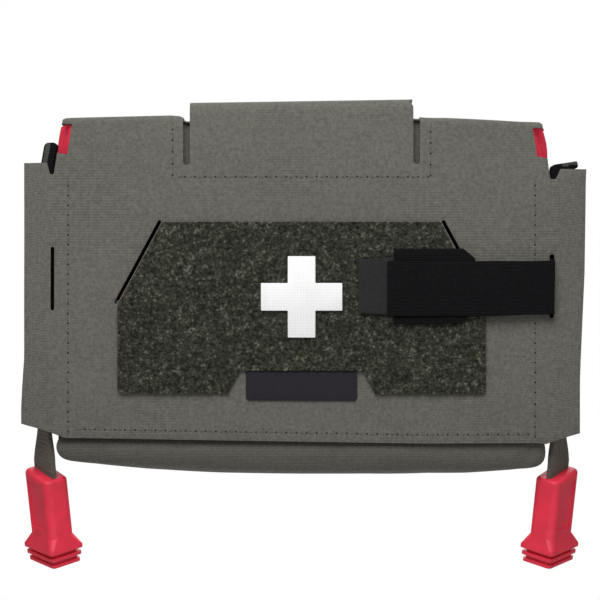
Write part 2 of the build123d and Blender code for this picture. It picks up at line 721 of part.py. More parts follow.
def time_strap():
    """Thin strap over the clip, sewn to the base plate on both sides."""
    half = ROD_RADIUS + CLIP_GAP + CLIP_WALL
    middle = CLIP_END - CLIP_LENGTH / 2
    x = (middle - TIME_STRAP_WIDTH / 2, middle + TIME_STRAP_WIDTH / 2)
    crown = ROD_DEPTH + ROD_RADIUS
    outer = block(x, (PLATE_FACE, crown + TIME_STRAP_THICK), band(half + TIME_STRAP_THICK))
    return outer - block(x, (PLATE_FACE, crown), band(half))


def inner_band():
    """Narrow band drawn up from the plate and around the windlass."""
    half = ROD_RADIUS + WRAP_WALL
    right = CLIP_END - CLIP_LENGTH - WRAP_GAP
    x = (right - WRAP_LENGTH, right)
    body = block(x, (PLATE_FACE, ROD_DEPTH + half), band(half))
    body = fillet(body.edges().filter_by(Axis.X).sort_by(Axis.Y)[:2], half - 1)
    bore = Pos(right, -ROD_DEPTH, ROD_Z) * Rot(0, 90, 0) * Cylinder(ROD_RADIUS + 0.05, 4 * WRAP_LENGTH)
    return body - bore


def nodes():
    """Every node of the part, by name."""
    made = {
        "front_panel": front_panel(),
        "top_cover": top_cover(),
        "top_bridge": top_bridge(),
        "back_panel": back_panel(),
        "back_stiffener": backing(4.0, BACK_FRONT, STIFFENER),
        "back_lining": backing(1.0, LINING_BACK, LINING),
        "pile_field": pile_field(),
        "cross_patch": cross_patch(),
        "blank_label": blank_label(),
        "keeper_right": keeper(KEEPER_FLAT, KEEPER_LEAN),
        "keeper_left": mirror(keeper(KEEPER_OPEN, 0), about=Plane.YZ),
        "hanger_loop": hanger_loop(),
        "hanger_flap": hanger_flap(),
        "hanger_hook": hanger_hook(),
        "strap_anchor": strap_anchor(),
        "strap_elastic": strap_elastic(),
        "strap_hook": strap_hook(),
        "strap_pull_end": strap_pull_end(),
        "insert_back_cover": board(0, INSERT_BACK, WALL),
        "insert_stiffener": board(2.0, BOARD_BACK, STIFFENER),
        "insert_board_face": board(0, BOARD_FRONT, WALL),
        "insert_front_wall": plate(
            INSERT_HALF, HEM, FRONT_WALL_TOP, INSERT_FRONT - FRONT_WALL, FRONT_WALL
        ),
        "insert_floor": insert_floor(),
        "tourniquet_band": tourniquet_band(),
        "tourniquet_buckle": tourniquet_buckle(),
        "tourniquet_plate": tourniquet_plate(),
        "windlass": windlass(),
        "windlass_clip": windlass_clip(),
        "time_strap": time_strap(),
        "inner_band": inner_band(),
    }
    made |= pair("side_gusset", side_gusset())
    made |= pair("insert_side_wall", insert_side_wall())
    made |= pair("insert_elastic", insert_elastic(ELASTIC_X))
    made |= pair("pull_anchor", pull_anchor())
    made |= pair("pull_webbing", pull_webbing())
    made |= pair("grip_tail", hung(tail()))
    made |= pair("pull_grip", pull_grip())
    return made


os.makedirs("parts", exist_ok=True)
for name, shape in nodes().items():
    export_step(shape, f"parts/{name}.step")
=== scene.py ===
"""Looks of the drop-out trauma pouch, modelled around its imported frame.

Lengths are in metres in the row frame: +X to the right, -Y to the front, +Z up.
"""

import json
import logging
from collections.abc import Callable, Iterator, Sequence
from contextlib import contextmanager
from dataclasses import dataclass
from enum import Enum
from math import ceil, cos, pi, radians, sin, tan

import bmesh
import bpy
from mathutils import Matrix, Vector

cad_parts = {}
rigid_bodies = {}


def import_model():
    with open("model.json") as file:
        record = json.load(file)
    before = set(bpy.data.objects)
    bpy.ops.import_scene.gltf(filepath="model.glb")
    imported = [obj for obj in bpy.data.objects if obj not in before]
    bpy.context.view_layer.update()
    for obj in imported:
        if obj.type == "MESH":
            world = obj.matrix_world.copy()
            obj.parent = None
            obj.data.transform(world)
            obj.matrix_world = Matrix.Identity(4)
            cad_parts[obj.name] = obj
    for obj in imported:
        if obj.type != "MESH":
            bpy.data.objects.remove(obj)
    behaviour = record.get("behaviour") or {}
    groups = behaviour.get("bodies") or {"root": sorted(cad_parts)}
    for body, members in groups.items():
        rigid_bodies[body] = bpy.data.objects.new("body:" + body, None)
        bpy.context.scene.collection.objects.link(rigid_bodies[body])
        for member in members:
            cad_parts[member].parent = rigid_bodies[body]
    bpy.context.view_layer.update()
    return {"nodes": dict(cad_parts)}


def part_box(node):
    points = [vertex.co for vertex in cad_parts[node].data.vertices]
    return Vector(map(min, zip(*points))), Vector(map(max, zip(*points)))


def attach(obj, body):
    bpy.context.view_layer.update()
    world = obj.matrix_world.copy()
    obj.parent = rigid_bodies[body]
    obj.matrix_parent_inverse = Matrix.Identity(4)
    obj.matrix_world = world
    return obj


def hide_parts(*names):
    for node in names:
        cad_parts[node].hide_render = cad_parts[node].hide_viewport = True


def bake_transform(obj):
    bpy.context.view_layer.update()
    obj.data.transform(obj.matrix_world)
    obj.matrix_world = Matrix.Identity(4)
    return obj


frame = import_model()
MM = 0.001
LOG = logging.getLogger("trauma_pouch")

Colour = tuple[float, float, float]
Place = tuple[float, float, float]
Piece = bpy.types.Object
Socket = bpy.types.NodeSocket
Test = Callable[[Vector, Vector], bool]
Line = tuple[tuple[float, float], ...]

RIGHT = Vector((1, 0, 0))
FRONT = Vector((0, -1, 0))
BACK = Vector((0, 1, 0))
UP = Vector((0, 0, 1))
DOWN = Vector((0, 0, -1))


class Side(Enum):
    """The two sides of the pouch, as the sign of X."""

    LEFT = -1
    RIGHT = 1

    def named(self, name: str) -> str:
        """The name of this side's piece."""
        return f"{name}_{self.name.lower()}"


class Weave(Enum):
    """How a textile's yarns run."""

    PLAIN = "over and under"
    RIBS_ALONG_X = "ribs along X"
    RIBS_UPRIGHT = "ribs along Z"
    TWILL = "slanted ribs"


# ---- modelling operators -------------------------------------------------------------------------


def only(piece: Piece) -> None:
    """Selects one object and makes it active.

    Args:
        piece: The object.
    """
    for other in bpy.context.view_layer.objects:
        other.select_set(other is piece)
    bpy.context.view_layer.objects.active = piece


@contextmanager
def editing(piece: Piece, mode: str = "FACE", where: Test | None = None) -> Iterator[None]:
    """Edit mode on one object, with chosen elements selected.

    Args:
        piece: The object to edit.
        mode: VERT, EDGE or FACE.
        where: Chooses by an element's middle and normal; all of them when left out.

    Yields:
        Nothing; the object is back in object mode afterwards.
    """
    only(piece)
    bpy.ops.object.mode_set(mode="EDIT")
    bpy.ops.mesh.select_mode(type=mode)
    bpy.ops.mesh.select_all(action="DESELECT" if where else "SELECT")
    if where:
        cage = bmesh.from_edit_mesh(piece.data)
        cage.normal_update()
        for item in {"VERT": cage.verts, "EDGE": cage.edges, "FACE": cage.faces}[mode]:
            if mode == "VERT":
                middle, normal = item.co, item.normal
            elif mode == "FACE":
                middle, normal = item.calc_center_median(), item.normal
            else:
                ends = [end.co for end in item.verts]
                middle, normal = (ends[0] + ends[1]) / 2, (ends[1] - ends[0]).normalized()
            if where(middle, normal):
                item.select_set(True)
        bmesh.update_edit_mesh(piece.data)
    try:
        yield
    finally:
        bpy.ops.object.mode_set(mode="OBJECT")


def modify(piece: Piece, kind: str, **settings: object) -> None:
    """Adds a modifier, sets it and applies it.

    Args:
        piece: The object.
        kind: The modifier's type.
        settings: Its properties.
    """
    only(piece)
    bpy.ops.object.modifier_add(type=kind)
    made = piece.modifiers[-1]
    for name, value in settings.items():
        setattr(made, name, value)
    bpy.ops.object.modifier_apply(modifier=made.name)


def reshape(piece: Piece, move: Callable[[Vector], Vector]) -> None:
    """Moves every point of a soft piece.

    Args:
        piece: The object.
        move: Gives a point's new place from its old one.
    """
    for point in piece.data.vertices:
        point.co = move(point.co.copy())
    piece.data.update()


def ease(share: float) -> float:
    """Smooth step from 0 to 1."""
    share = min(1.0, max(0.0, share))
    return share * share * (3 - 2 * share)


def cad_copy(node: str, name: str, flat: bool = True) -> Piece:
    """A merged copy of a CAD node.

    Args:
        node: The CAD node.
        name: The copy's name.
        flat: Joins each flat area into one face.

    Returns:
        The copy, which rides on nothing yet.
    """
    piece = bpy.data.objects.new(name, frame["nodes"][node].data.copy())
    bpy.context.scene.collection.objects.link(piece)
    piece.data.name = name
    piece.data.materials.clear()
    only(piece)
    if piece.data.has_custom_normals:
        bpy.ops.mesh.customdata_custom_splitnormals_clear()
    with editing(piece):
        bpy.ops.mesh.remove_doubles(threshold=0.002 * MM)
        if flat:
            bpy.ops.mesh.dissolve_limited(angle_limit=radians(0.5))
    return piece


def cut(piece: Piece, point: Vector, normal: Vector, *, keep: str = "both", fill: bool = False) -> None:
    """Cuts a mesh with a plane.

    Args:
        piece: The object.
        point: A point of the plane.
        normal: The plane's normal.
        keep: "both", or "below" to remove what lies on the normal's side.
        fill: Closes the cut.
    """
    with editing(piece):
        bpy.ops.mesh.bisect(
            plane_co=point, plane_no=normal, clear_outer=keep == "below", use_fill=fill, threshold=0.0001 * MM
        )


def divide(piece: Piece, cell: float, axes: str = "XZ") -> None:
    """Cuts a mesh into cells, so that it can bend.

    Args:
        piece: The object.
        cell: The largest cell.
        axes: The axes to cut along.
    """
    places = [point.co.copy() for point in piece.data.vertices]
    with editing(piece):
        for axis in axes:
            index = "XYZ".index(axis)
            low, high = min(p[index] for p in places), max(p[index] for p in places)
            count = ceil((high - low) / cell)
            normal = Vector([float(i == index) for i in range(3)])
            for number in range(1, count):
                bpy.ops.mesh.select_all(action="SELECT")
                place = normal * (low + (high - low) * number / count)
                bpy.ops.mesh.bisect(plane_co=place, plane_no=normal, threshold=0.0001 * MM)


def merge_in_cells(piece: Piece) -> None:
    """Joins the triangles inside each cell of a divided flat sheet, and leaves the cuts between cells.

    Args:
        piece: The sheet.
    """

    def straight(_: Vector, run: Vector) -> bool:
        """Whether an edge lies along an axis, as every cut does."""
        return max(abs(length) for length in run) > 0.9999

    with editing(piece, "EDGE", straight):
        bpy.ops.mesh.mark_seam(clear=False)
        bpy.ops.mesh.select_all(action="SELECT")
        bpy.ops.mesh.dissolve_limited(angle_limit=radians(0.5), delimit={"SEAM"})
        bpy.ops.mesh.select_all(action="SELECT")
        bpy.ops.mesh.mark_seam(clear=True)


def skin(node: str, name: str, facing: Vector, cell: float, axes: str = "XZ") -> Piece:
    """The side of a CAD node that looks one way, as a divided sheet.

    Args:
        node: The CAD node.
        name: The sheet's name.
        facing: The direction its faces look in.
        cell: The largest cell.
        axes: The axes to divide along.

    Returns:
        The open sheet.
    """
    piece = cad_copy(node, name, flat=False)
    with editing(piece, "FACE", lambda _, normal: normal.dot(facing) < 0.9):
        bpy.ops.mesh.delete(type="FACE")
    divide(piece, cell, axes)
    merge_in_cells(piece)
    return piece


def thicken(piece: Piece, thickness: float, edge: float = 0.0, smooth: float = 35.0) -> None:
    """Gives a sheet its thickness behind its face, and softens its cut edges.

    Args:
        piece: The sheet.
        thickness: Its thickness.
        edge: The width of its edges' rounding.
        smooth: Shading is smooth up to this angle, in degrees.
    """
    modify(piece, "SOLIDIFY", thickness=thickness, offset=-1.0, use_even_offset=True)
    if edge:
        soften(piece, edge, smooth)
    else:
        shade(piece, smooth)


def pad_out(strip: Piece, thickness: float, edge: float) -> None:
    """Gives a strip its thickness on both sides, and softens its cut edges.

    Args:
        strip: The strip.
        thickness: Its thickness.
        edge: The width of its edges' rounding.
    """
    modify(strip, "SOLIDIFY", thickness=thickness, offset=0.0)
    soften(strip, edge)


def ruffle(piece: Piece, waves: bpy.types.Texture, direction: str, height: float, level: float = 0.5) -> None:
    """Displaces a piece by a cloudy texture.

    Args:
        piece: The object.
        waves: The texture.
        direction: X, Y, Z or NORMAL.
        height: The full height of the displacement.
        level: The texture's value that stays in place.
    """
    modify(
        piece, "DISPLACE", texture=waves, texture_coords="LOCAL", direction=direction, mid_level=level,
        strength=height,
    )


def two_tone(piece: Piece, base: "Finish", second: "Finish", where: Test) -> None:
    """Gives a piece one finish, and some of its faces another.

    Args:
        piece: The object.
        base: The finish of most faces.
        second: The finish of the chosen faces.
        where: Chooses by a face's middle and normal.
    """
    for finish in (base, second):
        piece.data.materials.append(finish.material())
    with editing(piece, "FACE", where):
        piece.active_material_index = 1
        bpy.ops.object.material_slot_assign()


def soften(piece: Piece, edge: float, smooth: float = 35.0) -> None:
    """Rounds a closed piece's sharp edges.

    Args:
        piece: The object.
        edge: The width of the rounding.
        smooth: Shading is smooth up to this angle, in degrees.
    """
    modify(
        piece, "BEVEL", width=edge, segments=2, limit_method="ANGLE", angle_limit=radians(50),
        use_clamp_overlap=True,
    )
    shade(piece, smooth)


def shade(piece: Piece, smooth: float = 35.0) -> None:
    """Smooth shading up to an angle, in degrees."""
    only(piece)
    bpy.ops.object.shade_smooth_by_angle(angle=radians(smooth))


def ribbon(name: str, line: Sequence[Vector], across: Vector | Sequence[Vector], columns: int) -> Piece:
    """A strip of cloth, as a grid whose rows are laid along a line. It faces towards across x line.

    Args:
        name: The strip's name.
        line: The middle of each row.
        across: From one edge of the strip to the other, for all rows or for each.
        columns: How many cells there are across.

    Returns:
        The open strip.
    """
    rows = len(line) - 1
    spans = [across] * (rows + 1) if isinstance(across, Vector) else across
    bpy.ops.mesh.primitive_grid_add(x_subdivisions=columns, y_subdivisions=rows, size=1)
    piece = bpy.context.object
    piece.name = piece.data.name = name

    def laid(point: Vector) -> Vector:
        """The place of a grid point on the strip."""
        row = round((point.y + 0.5) * rows)
        return line[row] + spans[row] * point.x

    reshape(piece, laid)
    with editing(piece):
        bpy.ops.mesh.remove_doubles(threshold=0.002 * MM)
    return piece


def path(
    corners: Sequence[Vector], radius: float = 0.0, spacing: float = 3 * MM, steps: int = 5
) -> list[Vector]:
    """Points along straight runs whose corners are rounded.

    Args:
        corners: The corners, with the two ends.
        radius: The rounding of the corners between.
        spacing: The largest distance between points on a run.
        steps: The points on each rounding.

    Returns:
        The points in order.
    """
    line = [corners[0].copy()]
    for before, corner, after in zip(corners, corners[1:], corners[2:]):
        inward, outward = (corner - before).normalized(), (after - corner).normalized()
        turn = inward.angle(outward)
        if radius <= 0 or turn < 0.01:
            line.append(corner.copy())
            continue
        reach = min(radius * tan(turn / 2), (corner - before).length / 2, (after - corner).length / 2)
        first, last = corner - inward * reach, corner + outward * reach
        for step in range(steps + 1):
            share = step / steps
            line.append(first.lerp(corner, share).lerp(corner.lerp(last, share), share))
    line.append(corners[-1].copy())
    spaced = [line[0]]
    for start, end in zip(line, line[1:]):
        if (end - start).length < 0.01 * MM:
            continue
        count = max(1, ceil((end - start).length / spacing))
        spaced += [start.lerp(end, number / count) for number in range(1, count + 1)]
    return spaced


def join(name: str, pieces: Sequence[Piece]) -> Piece:
    """Joins pieces into one.

    Args:
        name: The joined piece's name.
        pieces: The pieces, of which the first keeps its place.

    Returns:
        The joined piece.
    """
    only(pieces[0])
    for piece in pieces:
        piece.select_set(True)
    bpy.ops.object.join()
    pieces[0].name = pieces[0].data.name = name
    return pieces[0]


def fit(piece: Piece, body: str, finish: "Finish", stands_for: Sequence[str] = ()) -> None:
    """Dresses a finished piece and puts it on its body.

    Args:
        piece: The finished object.
        body: The CAD body it rides on.
        finish: What it is made of; a piece with materials already keeps them.
        stands_for: The CAD nodes that it replaces.
    """
    if not piece.data.materials:
        piece.data.materials.append(finish.material())
    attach(piece, body)
    if stands_for:
        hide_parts(*stands_for)
    LOG.info("%s rides on %s, %d faces", piece.name, body, len(piece.data.polygons))


# ---- finishes ------------------------------------------------------------------------------------


def swatch(red: int, green: int, blue: int) -> Colour:
    """A colour from the three 0 to 255 values of its swatch.

    Args:
        red: The red value.
        green: The green value.
        blue: The blue value.

    Returns:
        The linear colour.
    """

    def linear(value: int) -> float:
        """One channel, without its display curve."""
        share = value / 255
        return share / 12.92 if share <= 0.04045 else ((share + 0.055) / 1.055) ** 2.4

    return linear(red), linear(green), linear(blue)


class Graph:
    """A material's nodes, written as short calls."""

    def __init__(self, name: str, **constants: float) -> None:
        """Starts a material.

        Args:
            name: The material's name.
            constants: Values of the shader's own sockets, with _ for a space.
        """
        self.material = bpy.data.materials.new(name)
        self.material.use_nodes = True
        self.tree = self.material.node_tree
        self.shader = self.tree.nodes["Principled BSDF"]
        for socket, value in constants.items():
            self.shader.inputs[socket.replace("_", " ")].default_value = value
        self.place = self.tree.nodes.new("ShaderNodeTexCoord").outputs["Object"]

    def node(self, kind: str, inputs: dict[str | int, object], **settings: object) -> bpy.types.Node:
        """Adds a node.

        Args:
            kind: The node's type.
            inputs: Sockets or values, by input name or number.
            settings: The node's properties.

        Returns:
            The node.
        """
        made = self.tree.nodes.new(kind)
        for name, value in settings.items():
            setattr(made, name, value)
        for key, value in inputs.items():
            if isinstance(value, bpy.types.NodeSocket):
                self.tree.links.new(value, made.inputs[key])
            else:
                made.inputs[key].default_value = value
        return made

    def math(self, operation: str, *values: Socket | float) -> Socket:
        """A sum, product or the like of up to three values.

        Args:
            operation: The operation's name.
            values: Sockets or numbers.

        Returns:
            The result.
        """
        return self.node("ShaderNodeMath", dict(enumerate(values)), operation=operation).outputs[0]

    def noise(self, size: float, detail: float = 2.0, stretch: Colour = (1, 1, 1)) -> Socket:
        """Cloudy noise.

        Args:
            size: The size of its clouds.
            detail: How many finer layers it has.
            stretch: How much shorter the clouds are along each axis.

        Returns:
            A value about 0.5.
        """
        place = self.node("ShaderNodeMapping", {"Vector": self.place, "Scale": stretch}).outputs[0]
        inputs = {"Vector": place, "Scale": 1 / size, "Detail": detail, "Roughness": 0.6}
        return self.node("ShaderNodeTexNoise", inputs).outputs["Fac"]

    def cells(self, size: float) -> Socket:
        """Distance to the middle of the nearest of scattered cells.

        Args:
            size: The size of a cell.

        Returns:
            A value from 0 at a cell's middle.
        """
        inputs = {"Vector": self.place, "Scale": 1 / size}
        return self.node("ShaderNodeTexVoronoi", inputs).outputs["Distance"]

    def ripple(self, direction: Colour, pitch: float) -> Socket:
        """A sine wave through the object.

        Args:
            direction: The direction it runs in.
            pitch: The length of one wave.

        Returns:
            A value from -1 to 1.
        """
        along = self.node("ShaderNodeVectorMath", {0: self.place, 1: direction}, operation="DOT_PRODUCT")
        return self.math("SINE", self.math("MULTIPLY", along.outputs["Value"], 2 * pi / pitch))

    def ramp(self, value: Socket, stops: Sequence[tuple[float, Colour]]) -> Socket:
        """Colours along a value.

        Args:
            value: The value.
            stops: The value and colour of each stop.

        Returns:
            The colour.
        """
        made = self.node("ShaderNodeValToRGB", {"Fac": value})
        elements = made.color_ramp.elements
        while len(elements) < len(stops):
            elements.new(0.5)
        for element, (position, colour) in zip(elements, stops):
            element.position = position
            element.color = (*colour, 1)
        return made.outputs["Color"]

    def shaded(self, colour: Socket, share: Socket, low: float, high: float) -> Socket:
        """A colour made darker or lighter by a value.

        Args:
            colour: The colour.
            share: The value, about 0.5.
            low: The factor where it is 0.
            high: The factor where it is 1.

        Returns:
            The colour.
        """
        factor = self.math("MULTIPLY_ADD", share, high - low, low)
        return self.node("ShaderNodeVectorMath", {0: colour, 3: factor}, operation="SCALE").outputs[0]

    def done(self, colour: Socket, height: Socket, depth: float) -> bpy.types.Material:
        """Connects the colour and the relief.

        Args:
            colour: The base colour.
            height: The relief, from 0 to 1.
            depth: The height of the relief.

        Returns:
            The material.
        """
        relief = self.node("ShaderNodeBump", {"Height": height, "Distance": depth, "Strength": 1.0})
        self.tree.links.new(relief.outputs[0], self.shader.inputs["Normal"])
        self.tree.links.new(colour, self.shader.inputs["Base Color"])
        return self.material


def tone(colour: Colour, factor: float) -> Colour:
    """A colour made darker or lighter."""
    return tuple(min(1.0, channel * factor) for channel in colour)


@dataclass(frozen=True)
class Finish:
    """What a piece is made of; the base of all finishes."""

    name: str
    colour: Colour

    def material(self) -> bpy.types.Material:
        """The finish's material, made once."""
        return bpy.data.materials.get(self.name) or self.painted()

    def painted(self) -> bpy.types.Material:
        """Makes the material; each finish has its own way."""
        raise NotImplementedError(self.name)


@dataclass(frozen=True)
class Textile(Finish):
    """Woven cloth, webbing, elastic or thread."""

    weave: Weave = Weave.PLAIN
    yarn: float = 0.62 * MM
    relief: float = 0.16 * MM
    mottle: float = 0.16
    roughness: float = 0.86
    sheen: float = 0.12
    gloss: float = 0.25

    def yarns(self, graph: Graph) -> Socket:
        """The relief of the yarns.

        Args:
            graph: The material's nodes.

        Returns:
            A value from 0 to 1.
        """
        pitch = 2 * self.yarn
        if self.weave is Weave.PLAIN:
            x, y, z = (graph.ripple(axis, pitch) for axis in ((1, 0, 0), (0, 1, 0), (0, 0, 1)))
            crossings = graph.math("MULTIPLY_ADD", x, z, graph.math("MULTIPLY", x, y))
            total = graph.math("MULTIPLY_ADD", y, z, crossings)
        else:
            direction = {
                Weave.RIBS_ALONG_X: (0, 0, 1), Weave.RIBS_UPRIGHT: (1, 0.6, 0), Weave.TWILL: (0.7, 0.4, 0.7),
            }[self.weave]
            total = graph.ripple(direction, pitch)
        return graph.math("MULTIPLY_ADD", total, 0.4, 0.5)

    def painted(self) -> bpy.types.Material:
        """Yarns, loose fibres, uneven dye, and painted shade with darker yarn valleys and lighter crowns.

        Returns:
            The material.
        """
        graph = Graph(self.name, Roughness=self.roughness, Sheen_Weight=self.sheen, Sheen_Roughness=0.5)
        graph.shader.inputs["Specular IOR Level"].default_value = self.gloss
        yarns, fibres = self.yarns(graph), graph.noise(0.45 * MM, 3)
        flecks = graph.noise(1.5 * MM, 4)
        base = graph.ramp(
            flecks,
            [
                (0.32, tone(self.colour, 1 - self.mottle)),
                (0.5, self.colour),
                (0.68, tone(self.colour, 1 + self.mottle)),
            ],
        )
        dyed = graph.shaded(base, graph.noise(38 * MM, 2), 0.9, 1.1)
        # painted shade and highlight: the colour follows the yarn relief, darker in the valleys and lighter
        # on the crowns
        shaded = graph.shaded(dyed, yarns, 0.9, 1.08)
        height = graph.math("MULTIPLY_ADD", fibres, 0.7, yarns)
        return graph.done(shaded, height, self.relief)


@dataclass(frozen=True)
class LoopPile(Finish):
    """Brushed loop pile, dark between its loops and with pale flecks on them."""

    fleck: Colour = (0.2, 0.2, 0.16)
    loop: float = 1.15 * MM

    def painted(self) -> bpy.types.Material:
        """Loops, shade between them and flecks of light.

        Returns:
            The material.
        """
        graph = Graph(self.name, Roughness=0.95, Sheen_Weight=0.04, Sheen_Roughness=0.6)
        graph.shader.inputs["Specular IOR Level"].default_value = 0.08
        cells, curls = graph.cells(self.loop), graph.noise(0.75 * self.loop, 4)
        clumps = graph.noise(2.6 * MM, 3)
        mixed = graph.math("MULTIPLY_ADD", clumps, 0.45, graph.math("MULTIPLY", curls, 0.65))
        base = graph.ramp(
            mixed,
            [
                (0.4, tone(self.colour, 0.3)),
                (0.52, self.colour),
                (0.62, tone(self.colour, 1.7)),
                (0.7, self.fleck),
            ],
        )
        shaded = graph.shaded(base, cells, 1.15, 0.55)
        height = graph.math("SUBTRACT", curls, cells)
        return graph.done(shaded, height, 0.5 * MM)


@dataclass(frozen=True)
class HookTape(Finish):
    """Rows of small stiff hooks on a woven ground."""

    pitch: float = 1.5 * MM

    def painted(self) -> bpy.types.Material:
        """Dots of hooks with gloss on a dull ground; the hook tops are painted lighter and the ground between
        them darker, as painted highlight and shade.

        Returns:
            The material.
        """
        graph = Graph(self.name, Roughness=0.5)
        x, z = graph.ripple((1, 0, 0), self.pitch), graph.ripple((0, 0, 1), self.pitch)
        dots = graph.math("MULTIPLY_ADD", graph.math("MULTIPLY", x, z), 0.5, 0.5)
        grit = graph.noise(0.6 * MM, 3)
        # painted highlight and shade: hook tops lighter, the ground between them darker
        base = graph.ramp(dots, [(0.3, tone(self.colour, 0.5)), (0.8, tone(self.colour, 1.6))])
        return graph.done(graph.shaded(base, grit, 0.7, 1.3), dots, 0.5 * MM)


@dataclass(frozen=True)
class Moulding(Finish):
    """Moulded rubber or plastic with a fine grain and faint scuffs."""

    roughness: float = 0.42
    grain: float = 0.35 * MM
    relief: float = 0.02 * MM
    metallic: float = 0.0

    def painted(self) -> bpy.types.Material:
        """A fine grain, a cloudy bloom and faint scuffs.

        Returns:
            The material.
        """
        graph = Graph(self.name, Roughness=self.roughness, Metallic=self.metallic)
        grain, bloom = graph.noise(self.grain, 2), graph.noise(9 * MM, 3)
        scuffs = graph.noise(2.2 * MM, 5, (1, 1, 0.3))
        base = graph.ramp(bloom, [(0.3, tone(self.colour, 0.9)), (0.7, tone(self.colour, 1.08))])
        worn = graph.math("MULTIPLY_ADD", scuffs, 0.25, self.roughness - 0.12)
        graph.tree.links.new(worn, graph.shader.inputs["Roughness"])
        return graph.done(graph.shaded(base, grain, 0.96, 1.04), grain, self.relief)


OUTER = Textile("outer_laminated_nylon", swatch(97, 96, 89), mottle=0.2, relief=0.09 * MM)
KEEPER_EDGE = Textile("keeper_edge", swatch(66, 65, 60), mottle=0.2)
BULGE = Textile("bulge_nylon", swatch(86, 85, 78), mottle=0.12)
RED_CLOTH = Textile(
    "red_nylon", swatch(252, 64, 88), mottle=0.08, yarn=0.5 * MM, relief=0.1 * MM, sheen=0.0, gloss=0.05
)
ELASTIC = Textile(
    "black_elastic", swatch(17, 17, 19), Weave.RIBS_ALONG_X, yarn=0.5 * MM, mottle=0.2, relief=0.25 * MM,
    sheen=0.01, gloss=0.08,
)
# near-black cloth behind the wing slots: painted shade for the dark inside of each slot
SLOT_SHADE_CLOTH = Textile("slot_backing_cloth", swatch(8, 8, 9), mottle=0.1, sheen=0.0, gloss=0.02)
STRAP_TAB = Textile(
    "charcoal_tab", swatch(41, 41, 42), Weave.TWILL, yarn=0.35 * MM, relief=0.06 * MM, sheen=0.02, gloss=0.15
)
WEBBING = Textile("pull_webbing", swatch(92, 85, 76), Weave.TWILL, yarn=0.7 * MM, relief=0.25 * MM)
TOURNIQUET_CLOTH = Textile(
    "tourniquet_strap", swatch(38, 38, 40), Weave.RIBS_UPRIGHT, yarn=0.6 * MM, relief=0.2 * MM
)
TIME_CLOTH = Textile("time_strap_white", swatch(222, 222, 216), Weave.TWILL, yarn=0.4 * MM, mottle=0.03)
LABEL_CLOTH = Textile(
    "blank_label_satin", swatch(40, 38, 43), Weave.RIBS_ALONG_X, yarn=0.3 * MM, relief=0.05 * MM, mottle=0.1,
    sheen=0.02, gloss=0.15,
)
CROSS_PATCH = Textile(
    "white_patch", swatch(244, 244, 244), yarn=0.35 * MM, relief=0.03 * MM, mottle=0.015, sheen=0.0
)
THREAD = Textile("sewing_thread", swatch(92, 91, 84), Weave.TWILL, yarn=0.2 * MM, relief=0.05 * MM)
DARK_THREAD = Textile("dark_thread", swatch(24, 24, 25), Weave.TWILL, yarn=0.2 * MM, relief=0.05 * MM)
# dark discs at the needle holes: painted shade of the dimples where the thread dips in
NEEDLE_HOLE_SHADE = Textile("needle_holes", swatch(44, 45, 41), mottle=0.05)
PILE = LoopPile("green_loop_pile", swatch(51, 52, 43), fleck=swatch(112, 114, 99), loop=1.5 * MM)
DARK_PILE = LoopPile("black_loop_tape", swatch(36, 36, 34), fleck=swatch(76, 76, 72))
HOOKS = HookTape("black_hook_tape", swatch(30, 30, 31))
BOARD = Moulding("stiffener_board", swatch(46, 46, 46), roughness=0.6, grain=0.8 * MM, relief=0.05 * MM)
GRIP_RUBBER = Moulding("red_grip_rubber", swatch(224, 42, 68), roughness=0.55)
TOURNIQUET_PLASTIC = Moulding("tourniquet_plastic", swatch(30, 30, 32), roughness=0.4)
ROD_METAL = Moulding("anodised_rod", swatch(58, 58, 60), roughness=0.34, metallic=0.85)


# ---- sewing --------------------------------------------------------------------------------------


@dataclass(frozen=True)
class Seam:
    """A straight row of lockstitch on a surface."""

    start: Vector
    end: Vector
    out: Vector

    @classmethod
    def flat(cls, start: Sequence[float], end: Sequence[float], y: float, out: Vector = FRONT) -> "Seam":
        """A row on an upright face.

        Args:
            start: The x and z of its start.
            end: The x and z of its end.
            y: The face's place.
            out: The way the face looks.

        Returns:
            The row.
        """
        return cls(Vector((start[0], y, start[1])), Vector((end[0], y, end[1])), out)


